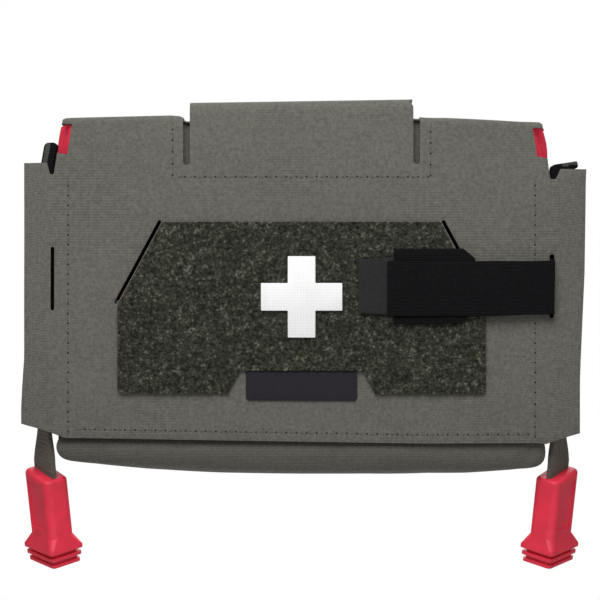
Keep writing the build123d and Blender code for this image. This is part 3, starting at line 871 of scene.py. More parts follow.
@dataclass(frozen=True)
class Sewing:
    """Rows of stitches: a thread that dips into a needle hole at each end, the hole drawn as a dark disc of
    painted shade.
    """

    pitch: float = 4.5 * MM
    thread_length: float = 3.5 * MM
    thread_width: float = 0.62 * MM
    thread_rise: float = 0.3 * MM
    hole_length: float = 1.35 * MM
    hole_width: float = 1.0 * MM

    def stitch(self, thread: Finish) -> Piece:
        """One stitch along X, facing +Z, with its hole as a dark disc of painted shade.

        Args:
            thread: The thread's finish.

        Returns:
            The stitch.
        """
        parts = []
        for length, width, rise, shift, finish in (
            (self.thread_length, self.thread_width, self.thread_rise, 0.0, thread),
            # the needle hole: a flat dark disc, painted shade of the dimple
            (self.hole_length, self.hole_width, 0.06 * MM, self.pitch / 2, NEEDLE_HOLE_SHADE),
        ):
            bpy.ops.mesh.primitive_uv_sphere_add(segments=8, ring_count=4, radius=1, rotation=(0, pi / 2, 0))
            part = bpy.context.object
            bpy.ops.object.transform_apply(location=False, rotation=True, scale=True)
            reshape(part, self.dipping(length, width, rise, shift))
            part.data.materials.append(finish.material())
            shade(part, 80)
            parts.append(part)
        return join("stitch", parts)

    @staticmethod
    def dipping(length: float, width: float, rise: float, shift: float) -> Callable[[Vector], Vector]:
        """Makes a unit ball a thread whose ends dip into the cloth.

        Args:
            length: The thread's length.
            width: Its width.
            rise: Its height in the middle.
            shift: How far along the row it lies.

        Returns:
            Gives a point's new place from its old one.
        """
        return lambda ball: Vector(
            (ball.x * length / 2 + shift, ball.y * width / 2, rise * (ball.z - 0.8 * ball.x * ball.x))
        )

    def sew(self, name: str, seams: Sequence[Seam], thread: Finish = THREAD) -> Piece:
        """Sews rows of stitches.

        Args:
            name: The piece's name.
            seams: The rows.
            thread: The thread's finish.

        Returns:
            All rows as one piece.
        """
        unit, rows = self.stitch(thread), []
        for seam in seams:
            run = seam.end - seam.start
            count = max(1, round(run.length / self.pitch))
            along, out = run.normalized(), seam.out.normalized()
            row = unit.copy()
            row.data = unit.data.copy()
            bpy.context.scene.collection.objects.link(row)
            axes = Matrix((along, out.cross(along), out)).transposed().to_4x4()
            row.data.transform(Matrix.Translation(seam.start + run / count / 2) @ axes)
            modify(
                row, "ARRAY", count=count, use_relative_offset=False, use_constant_offset=True,
                constant_offset_displace=run / count,
            )
            rows.append(row)
        bpy.data.objects.remove(unit)
        return join(name, rows)


SEWING = Sewing()
FINE_SEWING = Sewing(
    pitch=3.0 * MM, thread_length=2.3 * MM, thread_width=0.5 * MM, hole_length=0.8 * MM, hole_width=0.6 * MM
)


# ---- sleeve --------------------------------------------------------------------------------------


def along(line: Line, place: float) -> float:
    """The height of a broken line at a place; it runs on level beyond its ends.

    Args:
        line: The line's points, from left to right.
        place: The place.

    Returns:
        The height.
    """
    for (start, low), (end, high) in zip(line, line[1:]):
        if place < end:
            return low + (high - low) * max(0.0, place - start) / (end - start)
    return line[-1][1]


@dataclass(frozen=True)
class WingSet:
    """How one wing has taken a set, in millimetres: its top and foot up, its edge outwards by height."""

    top: float
    foot: float
    edge: Line


@dataclass(frozen=True)
class Drape:
    """How the laminated face hangs: wings swept back, an uneven top, a sagging hem and shallow waves.

    The lines are in millimetres: across the face for the top and the hem, up the face for the edges.
    """

    wing_start: float = 107 * MM
    wing_reach: float = 19 * MM
    wing_back: float = 1.8 * MM
    wave: float = 0.7 * MM
    wave_size: float = 48 * MM
    top: Line = (
        (-105, 0.3), (-56, 1.5), (-51, -0.6), (51, 1.0), (56, 0.3), (66, 0.3), (85, -0.6), (100, -1.5)
    )
    hem: Line = ((-100, 0.0), (55, -2.5), (105, -2.3))
    left: WingSet = WingSet(0.85, 1.5, ((-95, 0.45), (-85, 0.0), (-72, -0.9)))
    right: WingSet = WingSet(-1.95, -2.8, ((-82, -0.45), (-70, 0.0), (-34, 1.7), (12, 2.25)))
    right_shoulder: float = 0.9
    wing_inner: float = 106
    shoulder_foot: float = 9
    hem_start: float = -85

    def texture(self) -> bpy.types.Texture:
        """The waves' texture, made once.

        Returns:
            The texture.
        """
        made = bpy.data.textures.get("soft_waves") or bpy.data.textures.new("soft_waves", "CLOUDS")
        made.noise_scale = self.wave_size
        made.noise_depth = 1
        return made

    def settle(self, piece: Piece) -> None:
        """Moves a piece of the face with the cloth it is on.

        Args:
            piece: The piece.
        """

        def settled(point: Vector) -> Vector:
            """The place of a point once the cloth has settled.

            Args:
                point: The point.

            Returns:
                Its new place.
            """
            x, z = point.x / MM, point.z / MM
            side, wing_set = (1, self.right) if x > 0 else (-1, self.left)
            outward = max(0.0, (abs(point.x) - self.wing_start) / self.wing_reach)
            wing, upper = ease((abs(x) - self.wing_inner) / 5), ease((z - self.shoulder_foot) / 18)
            lift = along(self.top, x) * upper + along(self.hem, x) * ease((self.hem_start - z) / 15)
            tilt = wing_set.top * ease((z - 3) / 10) + wing_set.foot * ease((-88 - z) / 12)
            spread = side * along(wing_set.edge, z) * ease((abs(x) - 108) / 14)
            spread += self.right_shoulder * ease((x - 98) / 8) * upper
            point.x += spread * MM
            point.y += self.wing_back * outward * outward
            point.z += (lift + (tilt - lift) * wing) * MM
            return point

        reshape(piece, settled)
        ruffle(piece, self.texture(), "Y", self.wave)


@dataclass(frozen=True)
class Backing:
    """A patch of cloth seen through an opening."""

    width: float
    thick: float
    edge: float
    finish: Textile
    slot: str


# the slot backing is near-black as painted shade inside the slot
SLOT_SHADE_PATCH = Backing(15 * MM, 0.5 * MM, 0.12 * MM, SLOT_SHADE_CLOTH, "strap_elastic")
# the slit's lap takes the darker bulge cloth as painted shade inside the slit
SLIT_SHADE_PATCH = Backing(9 * MM, 0.6 * MM, 0.15 * MM, BULGE, "outer_fabric")


@dataclass
class Sleeve:
    """The outer sleeve: laminated face, top, back, gussets and what is sewn to them."""

    drape: Drape = Drape()
    cell: float = 4 * MM
    laminate: float = 1.2 * MM
    edge: float = 0.22 * MM
    fold: float = 2.4 * MM
    fold_flange: float = 7 * MM
    tongue_half: float = 51 * MM
    bridge_radius: float = 5 * MM
    gusset_bow_left: float = 9.0 * MM
    gusset_bow_right: float = 9.9 * MM
    gusset_lip: float = 7.0 * MM
    gusset_grid: tuple[int, int] = (14, 36)  # its cells across and upright
    gusset_rise: float = 12 * MM  # the bow grows over this height below its top
    gusset_close: float = 30 * MM  # and closes over this height above its foot
    gusset_pleat: float = 0.7 * MM
    gusset_drop: float = 1.4 * MM
    gusset_thick: float = 0.8 * MM
    gusset_wave: float = 1.2 * MM
    gusset_ease: float = 1.12  # the gussets' width over their span
    back_wave: float = 0.35 * MM
    cover_thick: float = 0.7 * MM
    cover_swell: float = 14 * MM  # the top cover's ends swell over this width
    cover_inset: float = 3.4 * MM
    cover_drop: float = 1.1 * MM
    keeper_cell: float = 0.8 * MM
    keeper_lean: float = 0.2  # sideways for each unit of height
    keeper_lean_height: float = 9 * MM
    corner_reach: float = 2.2 * MM
    corner_drop: float = 0.9 * MM
    tongue_corner: float = 8 * MM
    seam_from_edge: float = 21 * MM
    hem_margin: float = 4.0 * MM
    yoke: float = 26 * MM  # the seams beside and under the tongue end this far below the fold
    back_margin: float = 3.5 * MM
    pile_cell: float = 0.75 * MM

    def build(self) -> None:
        """Builds and dresses every piece."""
        self.low, self.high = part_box("front_panel")
        self.seam = self.high.x - self.seam_from_edge
        self.face()
        self.top()
        for side in Side:
            self.gusset(side)
            self.keeper(side)
        self.back()
        self.pile()
        self.cross()
        self.label()
        self.hanger_loop()
        self.strap_anchor()
        for side in Side:
            self.slot_backing(side)
            self.slit_backing(side)
        self.stitching()

    def face(self) -> None:
        """The laminated face, folded over at its shoulders, with its tongue carried over the top."""
        piece = skin("front_panel", "face_panel", FRONT, self.cell)
        fold_z, top = self.high.z - self.fold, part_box("top_bridge")[1].z
        cut(piece, UP * fold_z, UP, keep="below")

        def rim(tongue: bool) -> Test:
            """Chooses the upper rim inside or outside the tongue."""
            low = fold_z - 0.01 * MM
            return lambda middle, _: middle.z > low and (abs(middle.x) < self.tongue_half) == tongue

        with editing(piece, "EDGE", rim(tongue=False)):
            self.roll(self.fold, fold_z)
            bpy.ops.mesh.extrude_region_move(TRANSFORM_OT_translate={"value": BACK * self.fold_flange})
        with editing(piece, "EDGE", rim(tongue=True)):
            rise = top - self.bridge_radius - fold_z
            bpy.ops.mesh.extrude_region_move(TRANSFORM_OT_translate={"value": UP * rise})
            self.roll(self.bridge_radius, top - self.bridge_radius)
            run = -self.low.y - 2 * self.bridge_radius - 0.2 * MM
            for _ in range(8):
                bpy.ops.mesh.extrude_region_move(TRANSFORM_OT_translate={"value": BACK * run / 8})
        with editing(piece):
            bpy.ops.mesh.remove_doubles(threshold=0.01 * MM)
        self.soft_corners(piece)
        thicken(piece, self.laminate, self.edge)
        self.drape.settle(piece)
        fit(piece, "sleeve", OUTER, ["front_panel", "top_bridge"])

    def roll(self, radius: float, middle_z: float) -> None:
        """Rolls the selected upper rim of the face a quarter turn backwards.

        Args:
            radius: The roll's radius.
            middle_z: The height of the roll's axis.
        """
        centre = Vector((0, self.low.y + radius, middle_z))
        bpy.ops.mesh.spin(steps=6, angle=pi / 2, center=centre, axis=RIGHT)

    def soft_corners(self, piece: Piece) -> None:
        """Rounds the outer ends of the shoulder fold.

        Args:
            piece: The face.
        """
        corner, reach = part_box("top_cover")[1].x, self.corner_reach

        def rounded(point: Vector) -> Vector:
            """Lowers the fold's ends down to its lower edge, and rounds the tongue's right corner.

            Args:
                point: The point.

            Returns:
                Its new place.
            """
            raised = ease((point.z - self.high.z - 4 * MM) / (4 * MM))
            upper = raised * ease((point.y - self.low.y - 6 * MM) / (-6 * MM))
            if 0 < point.x < self.tongue_half and upper:
                inwards = ease((point.x - self.tongue_half + self.tongue_corner) / self.tongue_corner)
                point.x -= reach * upper * inwards
            share = (abs(point.x) - corner + reach) / reach
            if share > 0 and point.z > self.high.z - self.fold:
                over_fold = min(1.0, (point.z - self.high.z + self.fold) / self.fold)
                point.z -= self.corner_drop * min(1.0, share) ** 2 * over_fold
            return point

        reshape(piece, rounded)

    def top(self) -> None:
        """The cover over the sleeve's top, under the folded edge of the face."""
        piece = skin("top_cover", "top_panel", UP, self.cell, "XY")
        low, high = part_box("top_cover")
        middle, half = (low.y + high.y) / 2, (high.y - low.y) / 2

        def bulged(point: Vector) -> Vector:
            """Lets the cover's ends swell over the gussets.

            Args:
                point: The point.

            Returns:
                Its new place.
            """
            share = max(0.0, 1 - (high.x - abs(point.x)) / self.cover_swell)
            depth = 1 - ((point.y - middle) / half) ** 2
            reach = share * (self.gusset_lip * depth - self.cover_inset)
            sign = 1 if point.x > 0 else -1
            return Vector((point.x + reach * sign, point.y, point.z - self.cover_drop))

        reshape(piece, bulged)
        thicken(piece, self.cover_thick, 0.12 * MM)
        self.drape.settle(piece)
        fit(piece, "sleeve", OUTER, ["top_cover"])

    def gusset(self, side: Side) -> None:
        """A soft red side wall that bows outwards.

        Args:
            side: Which side.
        """
        node = side.named("side_gusset")
        low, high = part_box(node)
        inner = min(abs(low.x), abs(high.x))
        bow = self.gusset_bow_right if side is Side.RIGHT else self.gusset_bow_left
        middle, half = (low.y + high.y) / 2, (high.y - low.y) / 2
        rows, columns = self.gusset_grid
        line = [Vector((inner, middle + half * (-1 + 2 * row / rows), 0)) for row in range(rows + 1)]
        piece = ribbon(node + "_cloth", line, UP, columns)

        def bowed(point: Vector) -> Vector:
            """The place of a point on the bowed wall.

            Args:
                point: The point.

            Returns:
                Its new place.
            """
            top = high.z - self.gusset_drop
            z = low.z + (point.z + 0.5) * (top - low.z)
            depth = 1 - ((point.y - middle) / half) ** 2
            swell = (bow - self.gusset_lip) * sin(pi / 2 * min(1.0, max(0.0, (top - z) / self.gusset_rise)))
            close = self.gusset_lip * ease((low.z + self.gusset_close - z) / self.gusset_close)
            pleat = self.gusset_pleat * sin(3 * pi * (point.y - middle) / half) * depth
            x = inner + (self.gusset_lip + swell - close) * depth + pleat
            return Vector((side.value * x, point.y, z))

        reshape(piece, bowed)
        with editing(piece):
            bpy.ops.mesh.normals_make_consistent(inside=False)
        self.face_outwards(piece, side)
        thicken(piece, self.gusset_thick)
        ruffle(piece, self.drape.texture(), "X", self.gusset_wave)
        fit(piece, "sleeve", RED_CLOTH, [node])

    @staticmethod
    def face_outwards(piece: Piece, side: Side) -> None:
        """Turns a sheet's faces to the outer side.

        Args:
            piece: The sheet.
            side: Which side.
        """
        leaning = sum(face.normal.x * face.area for face in piece.data.polygons)
        if leaning * side.value < 0:
            with editing(piece):
                bpy.ops.mesh.flip_normals()

    def keeper(self, side: Side) -> None:
        """A folded keeper in the notch, black inside, grey on its outer layer on the left and grey along its
        top on the right.

        Args:
            side: Which side.
        """
        node = side.named("keeper")
        piece = cad_copy(node, node + "_elastic")
        divide(piece, self.keeper_cell, "XZ")
        low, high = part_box(node)

        def outer(middle: Vector, _: Vector) -> bool:
            """Whether a face is grey: on the left keeper its outer layer, on the right keeper the faces along
            its top.

            Args:
                middle: The face's middle.

            Returns:
                Whether it is.
            """
            if side is Side.LEFT:
                return MM < middle.x - low.x < 3.2 * MM
            return middle.x > low.x + 4 * MM and middle.z > high.z - (high.x - middle.x) * 0.19 - 1.3 * MM

        two_tone(piece, ELASTIC, KEEPER_EDGE, outer)
        if side is Side.LEFT:
            lean_from = high.z - self.keeper_lean_height
            reshape(piece, lambda point: point + RIGHT * self.keeper_lean * max(0.0, point.z - lean_from))
        soften(piece, 0.3 * MM)
        self.drape.settle(piece)
        fit(piece, "sleeve", ELASTIC, [node])

    def back(self) -> None:
        """The back panel with its webbing slots, and its lining."""
        piece = skin("back_panel", "back_panel_cloth", BACK, self.cell)
        thicken(piece, self.laminate, self.edge)
        ruffle(piece, self.drape.texture(), "Y", self.back_wave)
        fit(piece, "sleeve", OUTER, ["back_panel"])
        lining = skin("back_lining", "back_lining_cloth", FRONT, 8 * MM)
        thicken(lining, 0.7 * MM, 0.1 * MM)
        fit(lining, "sleeve", OUTER, ["back_lining"])

    def pile(self) -> None:
        """The loop pile field, as a dense sheet with its loops raised."""
        low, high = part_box("pile_field")
        piece = skin("pile_field", "pile_field_loops", FRONT, self.pile_cell)
        thicken(piece, high.y - low.y, 0.0, 60)
        loops = bpy.data.textures.new("loops", "CLOUDS")
        loops.noise_scale = 1.15 * MM
        loops.noise_depth = 2
        ruffle(piece, loops, "NORMAL", 1.3 * MM, 0.55)
        shade(piece, 70)
        self.drape.settle(piece)
        fit(piece, "sleeve", PILE, ["pile_field"])

    def cross(self) -> None:
        """The raised even-armed cross."""
        piece = cad_copy("cross_patch", "white_cross")
        soften(piece, 0.35 * MM)
        self.drape.settle(piece)
        fit(piece, "sleeve", CROSS_PATCH, ["cross_patch"])

    def label(self) -> None:
        """The bare woven label, with its lower corners cut off where its ends fold under."""
        piece = cad_copy("blank_label", "bare_label")
        divide(piece, 3 * MM, "XZ")
        low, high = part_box("blank_label")
        corner = 1.1 * MM
        for sign in (-1, 1):
            place = Vector(((high.x - corner * 0.5) * sign, low.y, low.z + corner * 0.5))
            cut(piece, place, Vector((sign, 0, -1)).normalized(), keep="below", fill=True)
        soften(piece, 0.25 * MM)
        self.drape.settle(piece)
        fit(piece, "sleeve", LABEL_CLOTH, ["blank_label"])

    def hanger_loop(self) -> None:
        """Loop tape on the back, under the hanger's toe."""
        low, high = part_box("hanger_loop")
        piece = skin("hanger_loop", "hanger_loop_tape", BACK, 1.2 * MM)
        thicken(piece, high.y - low.y, 0.0, 60)
        ruffle(piece, bpy.data.textures["loops"], "NORMAL", 0.5 * MM, 0.6)
        fit(piece, "sleeve", DARK_PILE, ["hanger_loop"])

    def strap_anchor(self) -> None:
        """The elastic's sewn tail behind the wing, brought through its slot."""
        low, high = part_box("strap_anchor")
        thick = 1.5 * MM
        start = Vector((high.x, self.low.y + 1.2 * MM + thick / 2, (low.z + high.z) / 2))
        bend = Vector((low.x + thick / 2, start.y, start.z))
        end = Vector((bend.x, low.y, start.z))
        line = path([start, bend, end], 0.9 * MM, 1.5 * MM)
        piece = ribbon("strap_anchor_elastic", line, UP * (high.z - low.z), 16)
        pad_out(piece, thick, 0.25 * MM)
        self.drape.settle(piece)
        fit(piece, "sleeve", ELASTIC, ["strap_anchor"])

    def backing(self, patch: Backing, name: str, x: float, y: float, foot: float, top: float) -> None:
        """Sews a patch behind an opening in the face.

        Args:
            patch: The patch.
            name: The piece's name.
            x: The place of its middle.
            y: How deep it lies.
            foot: The height of its lower end.
            top: The height of its upper end.
        """
        line = path([Vector((x, y, foot)), Vector((x, y, top))], 0, 4 * MM)
        piece = ribbon(name, line, RIGHT * patch.width, 6)
        pad_out(piece, patch.thick, patch.edge)
        self.drape.settle(piece)
        fit(piece, "sleeve", patch.finish)

    def slot_backing(self, side: Side) -> None:
        """A patch sewn behind a wing's slot, near-black as painted shade for the dark inside of the slot.

        Args:
            side: Which side.
        """
        low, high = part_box("strap_anchor")
        right = side is Side.RIGHT
        middle = (low.z + high.z) / 2 + (0 if right else 3.4 * MM)
        reach = (high.z - low.z) / 2 + 6 * MM
        x, y = side.value * (low.x + 4 * MM), self.low.y + (3.1 if right else 1.5) * MM
        self.backing(SLOT_SHADE_PATCH, side.named("slot_backing"), x, y, middle - reach, middle + reach)

    def slit_backing(self, side: Side) -> None:
        """The shoulder cloth's lap behind a slit beside the tongue, in the darker bulge cloth as painted
        shade inside the slit.

        Args:
            side: Which side.
        """
        x, y = side.value * (self.tongue_half + 1.5 * MM), self.low.y + 3.4 * MM
        foot, top = self.high.z - 26 * MM, self.high.z - 2.0 * MM
        self.backing(SLIT_SHADE_PATCH, side.named("slit_backing"), x, y, foot, top)

    def stitching(self) -> None:
        """Every row of stitches on the sleeve."""
        y, top, hem = self.low.y, self.high.z, self.low.z
        seams = []
        for side in Side:
            x, inner = side.value * self.seam, side.value * 58 * MM
            seams.append(Seam.flat((x, top - self.yoke), (x, hem + 3 * MM), y))
            seams.append(Seam.flat((inner, top - 2 * MM), (inner, top - self.yoke), y))
        reach, hem_z, low_z = self.seam - 3 * MM, hem + self.hem_margin, top - self.yoke - 0.5 * MM
        seams.append(Seam.flat((-reach, hem_z), (reach, hem_z), y))
        seams.append(Seam.flat((-57 * MM, low_z), (57 * MM, low_z), y))
        rows = SEWING.sew("face_stitching", seams)
        self.drape.settle(rows)
        fit(rows, "sleeve", THREAD)

        low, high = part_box("back_panel")
        y, x = high.y + 0.15 * MM, high.x - self.back_margin
        foot, top = low.z + self.back_margin, high.z - self.back_margin
        back = [Seam.flat((sign * x, top), (sign * x, foot + 5 * MM), y, BACK) for sign in (-1, 1)]
        back.append(Seam.flat((6 * MM - x, foot), (x - 6 * MM, foot), y, BACK))
        fit(SEWING.sew("back_stitching", back), "sleeve", THREAD)


# ---- hanger --------------------------------------------------------------------------------------


@dataclass
class Hanger:
    """The wide flap behind the belt, carried on from the tongue, with hook tape on its toe."""

    thick: float = 1.4 * MM
    bend_radius: float = 5 * MM
    hinge_z: float = 32 * MM
    hinge_reach: float = 3.6 * MM

    def build(self) -> None:
        """Builds and dresses the flap and its hook tape."""
        bridge_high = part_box("top_bridge")[1]
        low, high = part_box("hanger_flap")
        hook_low, hook_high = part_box("hanger_hook")
        toe = hook_high.y + self.thick + 0.2 * MM
        knee = hook_high.z + 7 * MM
        corners = [
            Vector((0, bridge_high.y - self.bend_radius, bridge_high.z)),
            Vector((0, bridge_high.y, bridge_high.z)),
            Vector((0, bridge_high.y, knee)),
            Vector((0, toe, hook_high.z)),
            Vector((0, toe, low.z)),
        ]
        line = path(corners, self.bend_radius, 1.6 * MM, 8)
        piece = ribbon("hanger_flap_cloth", line, RIGHT * (high.x - low.x), 26)
        self.soft_toe(piece, low.z)
        thicken(piece, self.thick, 0.2 * MM)
        piece.data.materials.append(OUTER.material())
        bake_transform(piece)
        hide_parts("hanger_flap")
        LOG.info("%s bends between sleeve and hanger", piece.name)

        tape = skin("hanger_hook", "hanger_hook_tape", FRONT, 6 * MM)
        thicken(tape, hook_high.y - hook_low.y, 0.15 * MM)
        fit(tape, "hanger", HOOKS, ["hanger_hook"])
        x, foot, head = high.x - 3 * MM, low.z + 3 * MM, hook_high.z - 2.5 * MM
        seams = [Seam.flat((-x, z), (x, z), toe, BACK) for z in (foot, head)]
        seams += [Seam.flat((sign * x, foot), (sign * x, head), toe, BACK) for sign in (-1, 1)]
        fit(SEWING.sew("hanger_stitching", seams), "hanger", THREAD)

    @staticmethod
    def soft_toe(piece: Piece, foot: float) -> None:
        """Rounds the flap's two lower corners.

        Args:
            piece: The flap.
            foot: The height of its lower edge.
        """
        half = max(point.co.x for point in piece.data.vertices)
        radius = 5 * MM

        def rounded(point: Vector) -> Vector:
            """Draws a corner point in onto its rounding.

            Args:
                point: The point.

            Returns:
                Its new place.
            """
            over = Vector((abs(point.x) - half + radius, foot + radius - point.z))
            if over.x > 0 and over.y > 0 and over.length > radius:
                over = over.normalized() * radius
                point.x = (half - radius + over.x) * (1 if point.x > 0 else -1)
                point.z = foot + radius - over.y
            return point

        reshape(piece, rounded)


# ---- retention strap -----------------------------------------------------------------------------


@dataclass
class Strap:
    """The black elastic across the front, with its hook patch and pull end."""

    thick: float = 1.5 * MM

    def build(self) -> None:
        """Builds and dresses the strap."""
        self.elastic()
        self.patch()
        self.pull_end()

    def elastic(self) -> None:
        """The ribbed elastic, tucked in at its slot."""
        low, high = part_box("strap_elastic")
        middle = (low.z + high.z) / 2
        y = (low.y + high.y) / 2
        axis = high.x - self.thick / 2
        start, bend = Vector((low.x, y, middle)), Vector((axis, y, middle))
        line = path([start, bend], 0, 2.2 * MM)
        line.append(Vector((axis + 0.5 * MM, y + 0.35 * MM, middle)))
        piece = ribbon("strap_band", line, DOWN * (high.z - low.z), 18)

        def frayed(point: Vector) -> Vector:
            """Lets the edges wander and the band crown slightly.

            Args:
                point: The point.

            Returns:
                Its new place.
            """
            share = (point.z - middle) / ((high.z - low.z) / 2)
            point.y += 0.35 * MM * share * share
            point.z += 0.2 * MM * (sin(point.x / (6 * MM)) - 1) * share
            point.z -= (0.6 + 0.5 * ease((axis - point.x) / (30 * MM))) * MM
            return point

        reshape(piece, frayed)
        pad_out(piece, self.thick, 0.35 * MM)
        fit(piece, "strap", ELASTIC, ["strap_elastic"])

    def patch(self) -> None:
        """The wider patch whose back carries the hooks."""
        low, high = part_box("strap_hook")
        piece = cad_copy("strap_hook", "strap_hook_patch")
        divide(piece, 3 * MM, "XZ")
        middle = (low.z + high.z) / 2

        def sloped(point: Vector) -> Vector:
            """Slopes the far end, more gently below than above.

            Args:
                point: The point.

            Returns:
                Its new place.
            """
            if point.z < middle:
                share = ease((point.x - high.x + 11 * MM) / (11 * MM))
                point.z += share * 2.2 * MM * (middle - point.z) / (middle - low.z)
            return point

        reshape(piece, sloped)
        soften(piece, 0.4 * MM)
        two_tone(piece, ELASTIC, HOOKS, lambda _, normal: normal.y > 0.8)
        fit(piece, "strap", ELASTIC, ["strap_hook"])

    def pull_end(self) -> None:
        """The smooth charcoal tab, with its row of bar stitches."""
        low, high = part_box("strap_pull_end")
        piece = cad_copy("strap_pull_end", "strap_pull_tab")
        divide(piece, 3 * MM, "XZ")
        middle = (low.z + high.z) / 2

        def tapered(point: Vector) -> Vector:
            """Draws the free end in a little and lifts it off the pile.

            Args:
                point: The point.

            Returns:
                Its new place.
            """
            free = ease((high.x - point.x) / (high.x - low.x))
            point.z -= (point.z - middle) * 0.05 * free
            point.y -= 0.5 * MM * free
            return point

        reshape(piece, tapered)
        soften(piece, 0.35 * MM)
        fit(piece, "strap", STRAP_TAB, ["strap_pull_end"])
        x, y = high.x - 2.2 * MM, low.y - 0.1 * MM
        seam = Seam.flat((x, high.z - 2 * MM), (x, low.z + 2 * MM), y)
        fit(FINE_SEWING.sew("strap_stitching", [seam], DARK_THREAD), "strap", DARK_THREAD)


# ---- insert --------------------------------------------------------------------------------------


@dataclass
class Insert:
    """The tray that drops out of the sleeve, with its padded floor and its elastic bands."""

    cell: float = 8 * MM
    floor_voxel: float = 4 * MM
    floor_skin: float = 1.4 * MM
    floor_cap: float = 2.6 * MM
    floor_pressure: float = 4.0
    band_thick: float = 1.4 * MM
    band_flange: float = 8 * MM
    side_rise: float = 37 * MM  # the side walls' extra height at the back over the front
    swell_left: float = 2.0 * MM
    swell_right: float = 1.4 * MM
    floor_sag: Line = (
        (-108, 1.8), (-90, 1.3), (-70, 0.8), (-20, 0.6), (30, 0.3), (58, -0.5), (75, -1.4), (104, -1.5)
    )
    # each pleat's place, half width and depth, in millimetres
    pleats: tuple[tuple[float, float, float], ...] = (
        (-96, 5, 0.9), (-62, 10, 0.5), (58, 11, 0.5), (97, 5, 0.9), (12, 14, 0.35)
    )
    pleats_before: float = -30 * MM  # only the front of the floor is pleated
    frames: int = 20

    def build(self) -> None:
        """Builds and dresses the tray, its floor and its elastics."""
        for node, facing, axes, finish, slot, thick in (
            ("insert_back_cover", BACK, "XZ", RED_CLOTH, "red_fabric", 0.8),
            ("insert_board_face", FRONT, "XZ", RED_CLOTH, "red_fabric", 0.8),
            ("insert_front_wall", FRONT, "XZ", BULGE, "bulge_fabric", 1.0),
            ("insert_side_wall_left", -RIGHT, "YZ", RED_CLOTH, "red_fabric", 0.8),
            ("insert_side_wall_right", RIGHT, "YZ", RED_CLOTH, "red_fabric", 0.8),
        ):
            piece = skin(node, node + "_cloth", facing, self.cell, axes)
            thicken(piece, thick * MM, 0.15 * MM)
            fit(piece, "insert", finish, [node])
        self.floor()
        for side in Side:
            self.elastic(side)

    def floor(self) -> None:
        """The padded floor, blown out by a short cloth simulation and then opened at its top."""
        low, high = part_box("insert_floor")
        inner_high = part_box("insert_front_wall")[1]
        piece = cad_copy("insert_floor", "insert_floor_cloth")
        half, front, back = inner_high.x, inner_high.y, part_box("insert_board_face")[0].y

        def inside(middle: Vector, normal: Vector) -> bool:
            """Whether a face belongs to the hollow or the rim."""
            boxed = abs(middle.x) < half and front - 0.1 * MM < middle.y < back + 0.1 * MM
            return normal.z > 0.02 or (boxed and abs(normal.z) < 0.02)

        with editing(piece, "FACE", inside):
            bpy.ops.mesh.delete(type="FACE")
        with editing(piece, "EDGE", lambda middle, _: middle.z > high.z - 0.01 * MM):
            bpy.ops.mesh.edge_face_add()
        with editing(piece):
            bpy.ops.mesh.normals_make_consistent(inside=False)
        modify(piece, "REMESH", mode="VOXEL", voxel_size=self.floor_voxel)
        self.inflate(piece, high.z)
        cut(piece, UP * (high.z - 0.4 * MM), UP, keep="below")
        modify(piece, "SUBSURF", levels=1, render_levels=1)
        self.spread(piece, high)
        self.crease(piece, high.z, low.z)
        thicken(piece, self.floor_skin, 0.0, 60)
        fit(piece, "insert", BULGE, ["insert_floor"])

    def inflate(self, piece: Piece, rim: float) -> None:
        """Simulates the padded cloth under pressure, held at its rim, and limits how far it moves.

        Args:
            piece: The closed mesh.
            rim: The height of the rim.
        """
        held = piece.vertex_groups.new(name="held")
        held.add([p.index for p in piece.data.vertices if p.co.z > rim - 3.5 * MM], 1.0, "REPLACE")
        before = [p.co.copy() for p in piece.data.vertices]
        only(piece)
        bpy.ops.object.modifier_add(type="CLOTH")
        cloth = piece.modifiers[-1]
        cloth.settings.vertex_group_mass = held.name
        cloth.settings.use_pressure = True
        cloth.settings.uniform_pressure_force = self.floor_pressure
        cloth.settings.effector_weights.gravity = 0
        cloth.settings.quality = 6
        cloth.point_cache.frame_start = 1
        cloth.point_cache.frame_end = self.frames
        for number in range(1, self.frames + 1):
            bpy.context.scene.frame_set(number)
        bpy.ops.object.modifier_apply(modifier=cloth.name)
        bpy.context.scene.frame_set(1)
        for point, start in zip(piece.data.vertices, before):
            moved = point.co - start
            if moved.length > self.floor_cap:
                point.co = start + moved.normalized() * self.floor_cap
        piece.data.update()

    def spread(self, piece: Piece, corner: Vector) -> None:
        """Swells the floor's ends out to the pulls, the left one further, and lets its right end sag.

        Args:
            piece: The floor.
            corner: Its upper corner, before it swells.
        """

        def swollen(point: Vector) -> Vector:
            """The place of a point on the swollen floor.

            Args:
                point: The point.

            Returns:
                Its new place.
            """
            sag = along(self.floor_sag, point.x / MM) * MM
            reach = self.swell_right if point.x > 0 else -self.swell_left
            point.x += reach * ease((abs(point.x) - corner.x + 22 * MM) / (22 * MM))
            point.z += sag * ease((corner.z - point.z) / (9 * MM))
            return point

        reshape(piece, swollen)

    def crease(self, piece: Piece, rim: float, foot: float) -> None:
        """Presses in the pleats beside the boxed corners.

        Args:
            piece: The floor.
            rim: The height of its rim.
            foot: The height of its lowest point.
        """

        def pressed(point: Vector) -> Vector:
            """The place of a point once the pleats are in.

            Args:
                point: The point.

            Returns:
                Its new place.
            """
            for x, width, depth in self.pleats:
                near = max(0.0, 1 - abs(point.x / MM - x - (point.z - foot) / MM * 0.5) / width)
                if point.y < self.pleats_before:
                    point.y += depth * MM * near * near * ease((rim - point.z) / (8 * MM))
            return point

        reshape(piece, pressed)

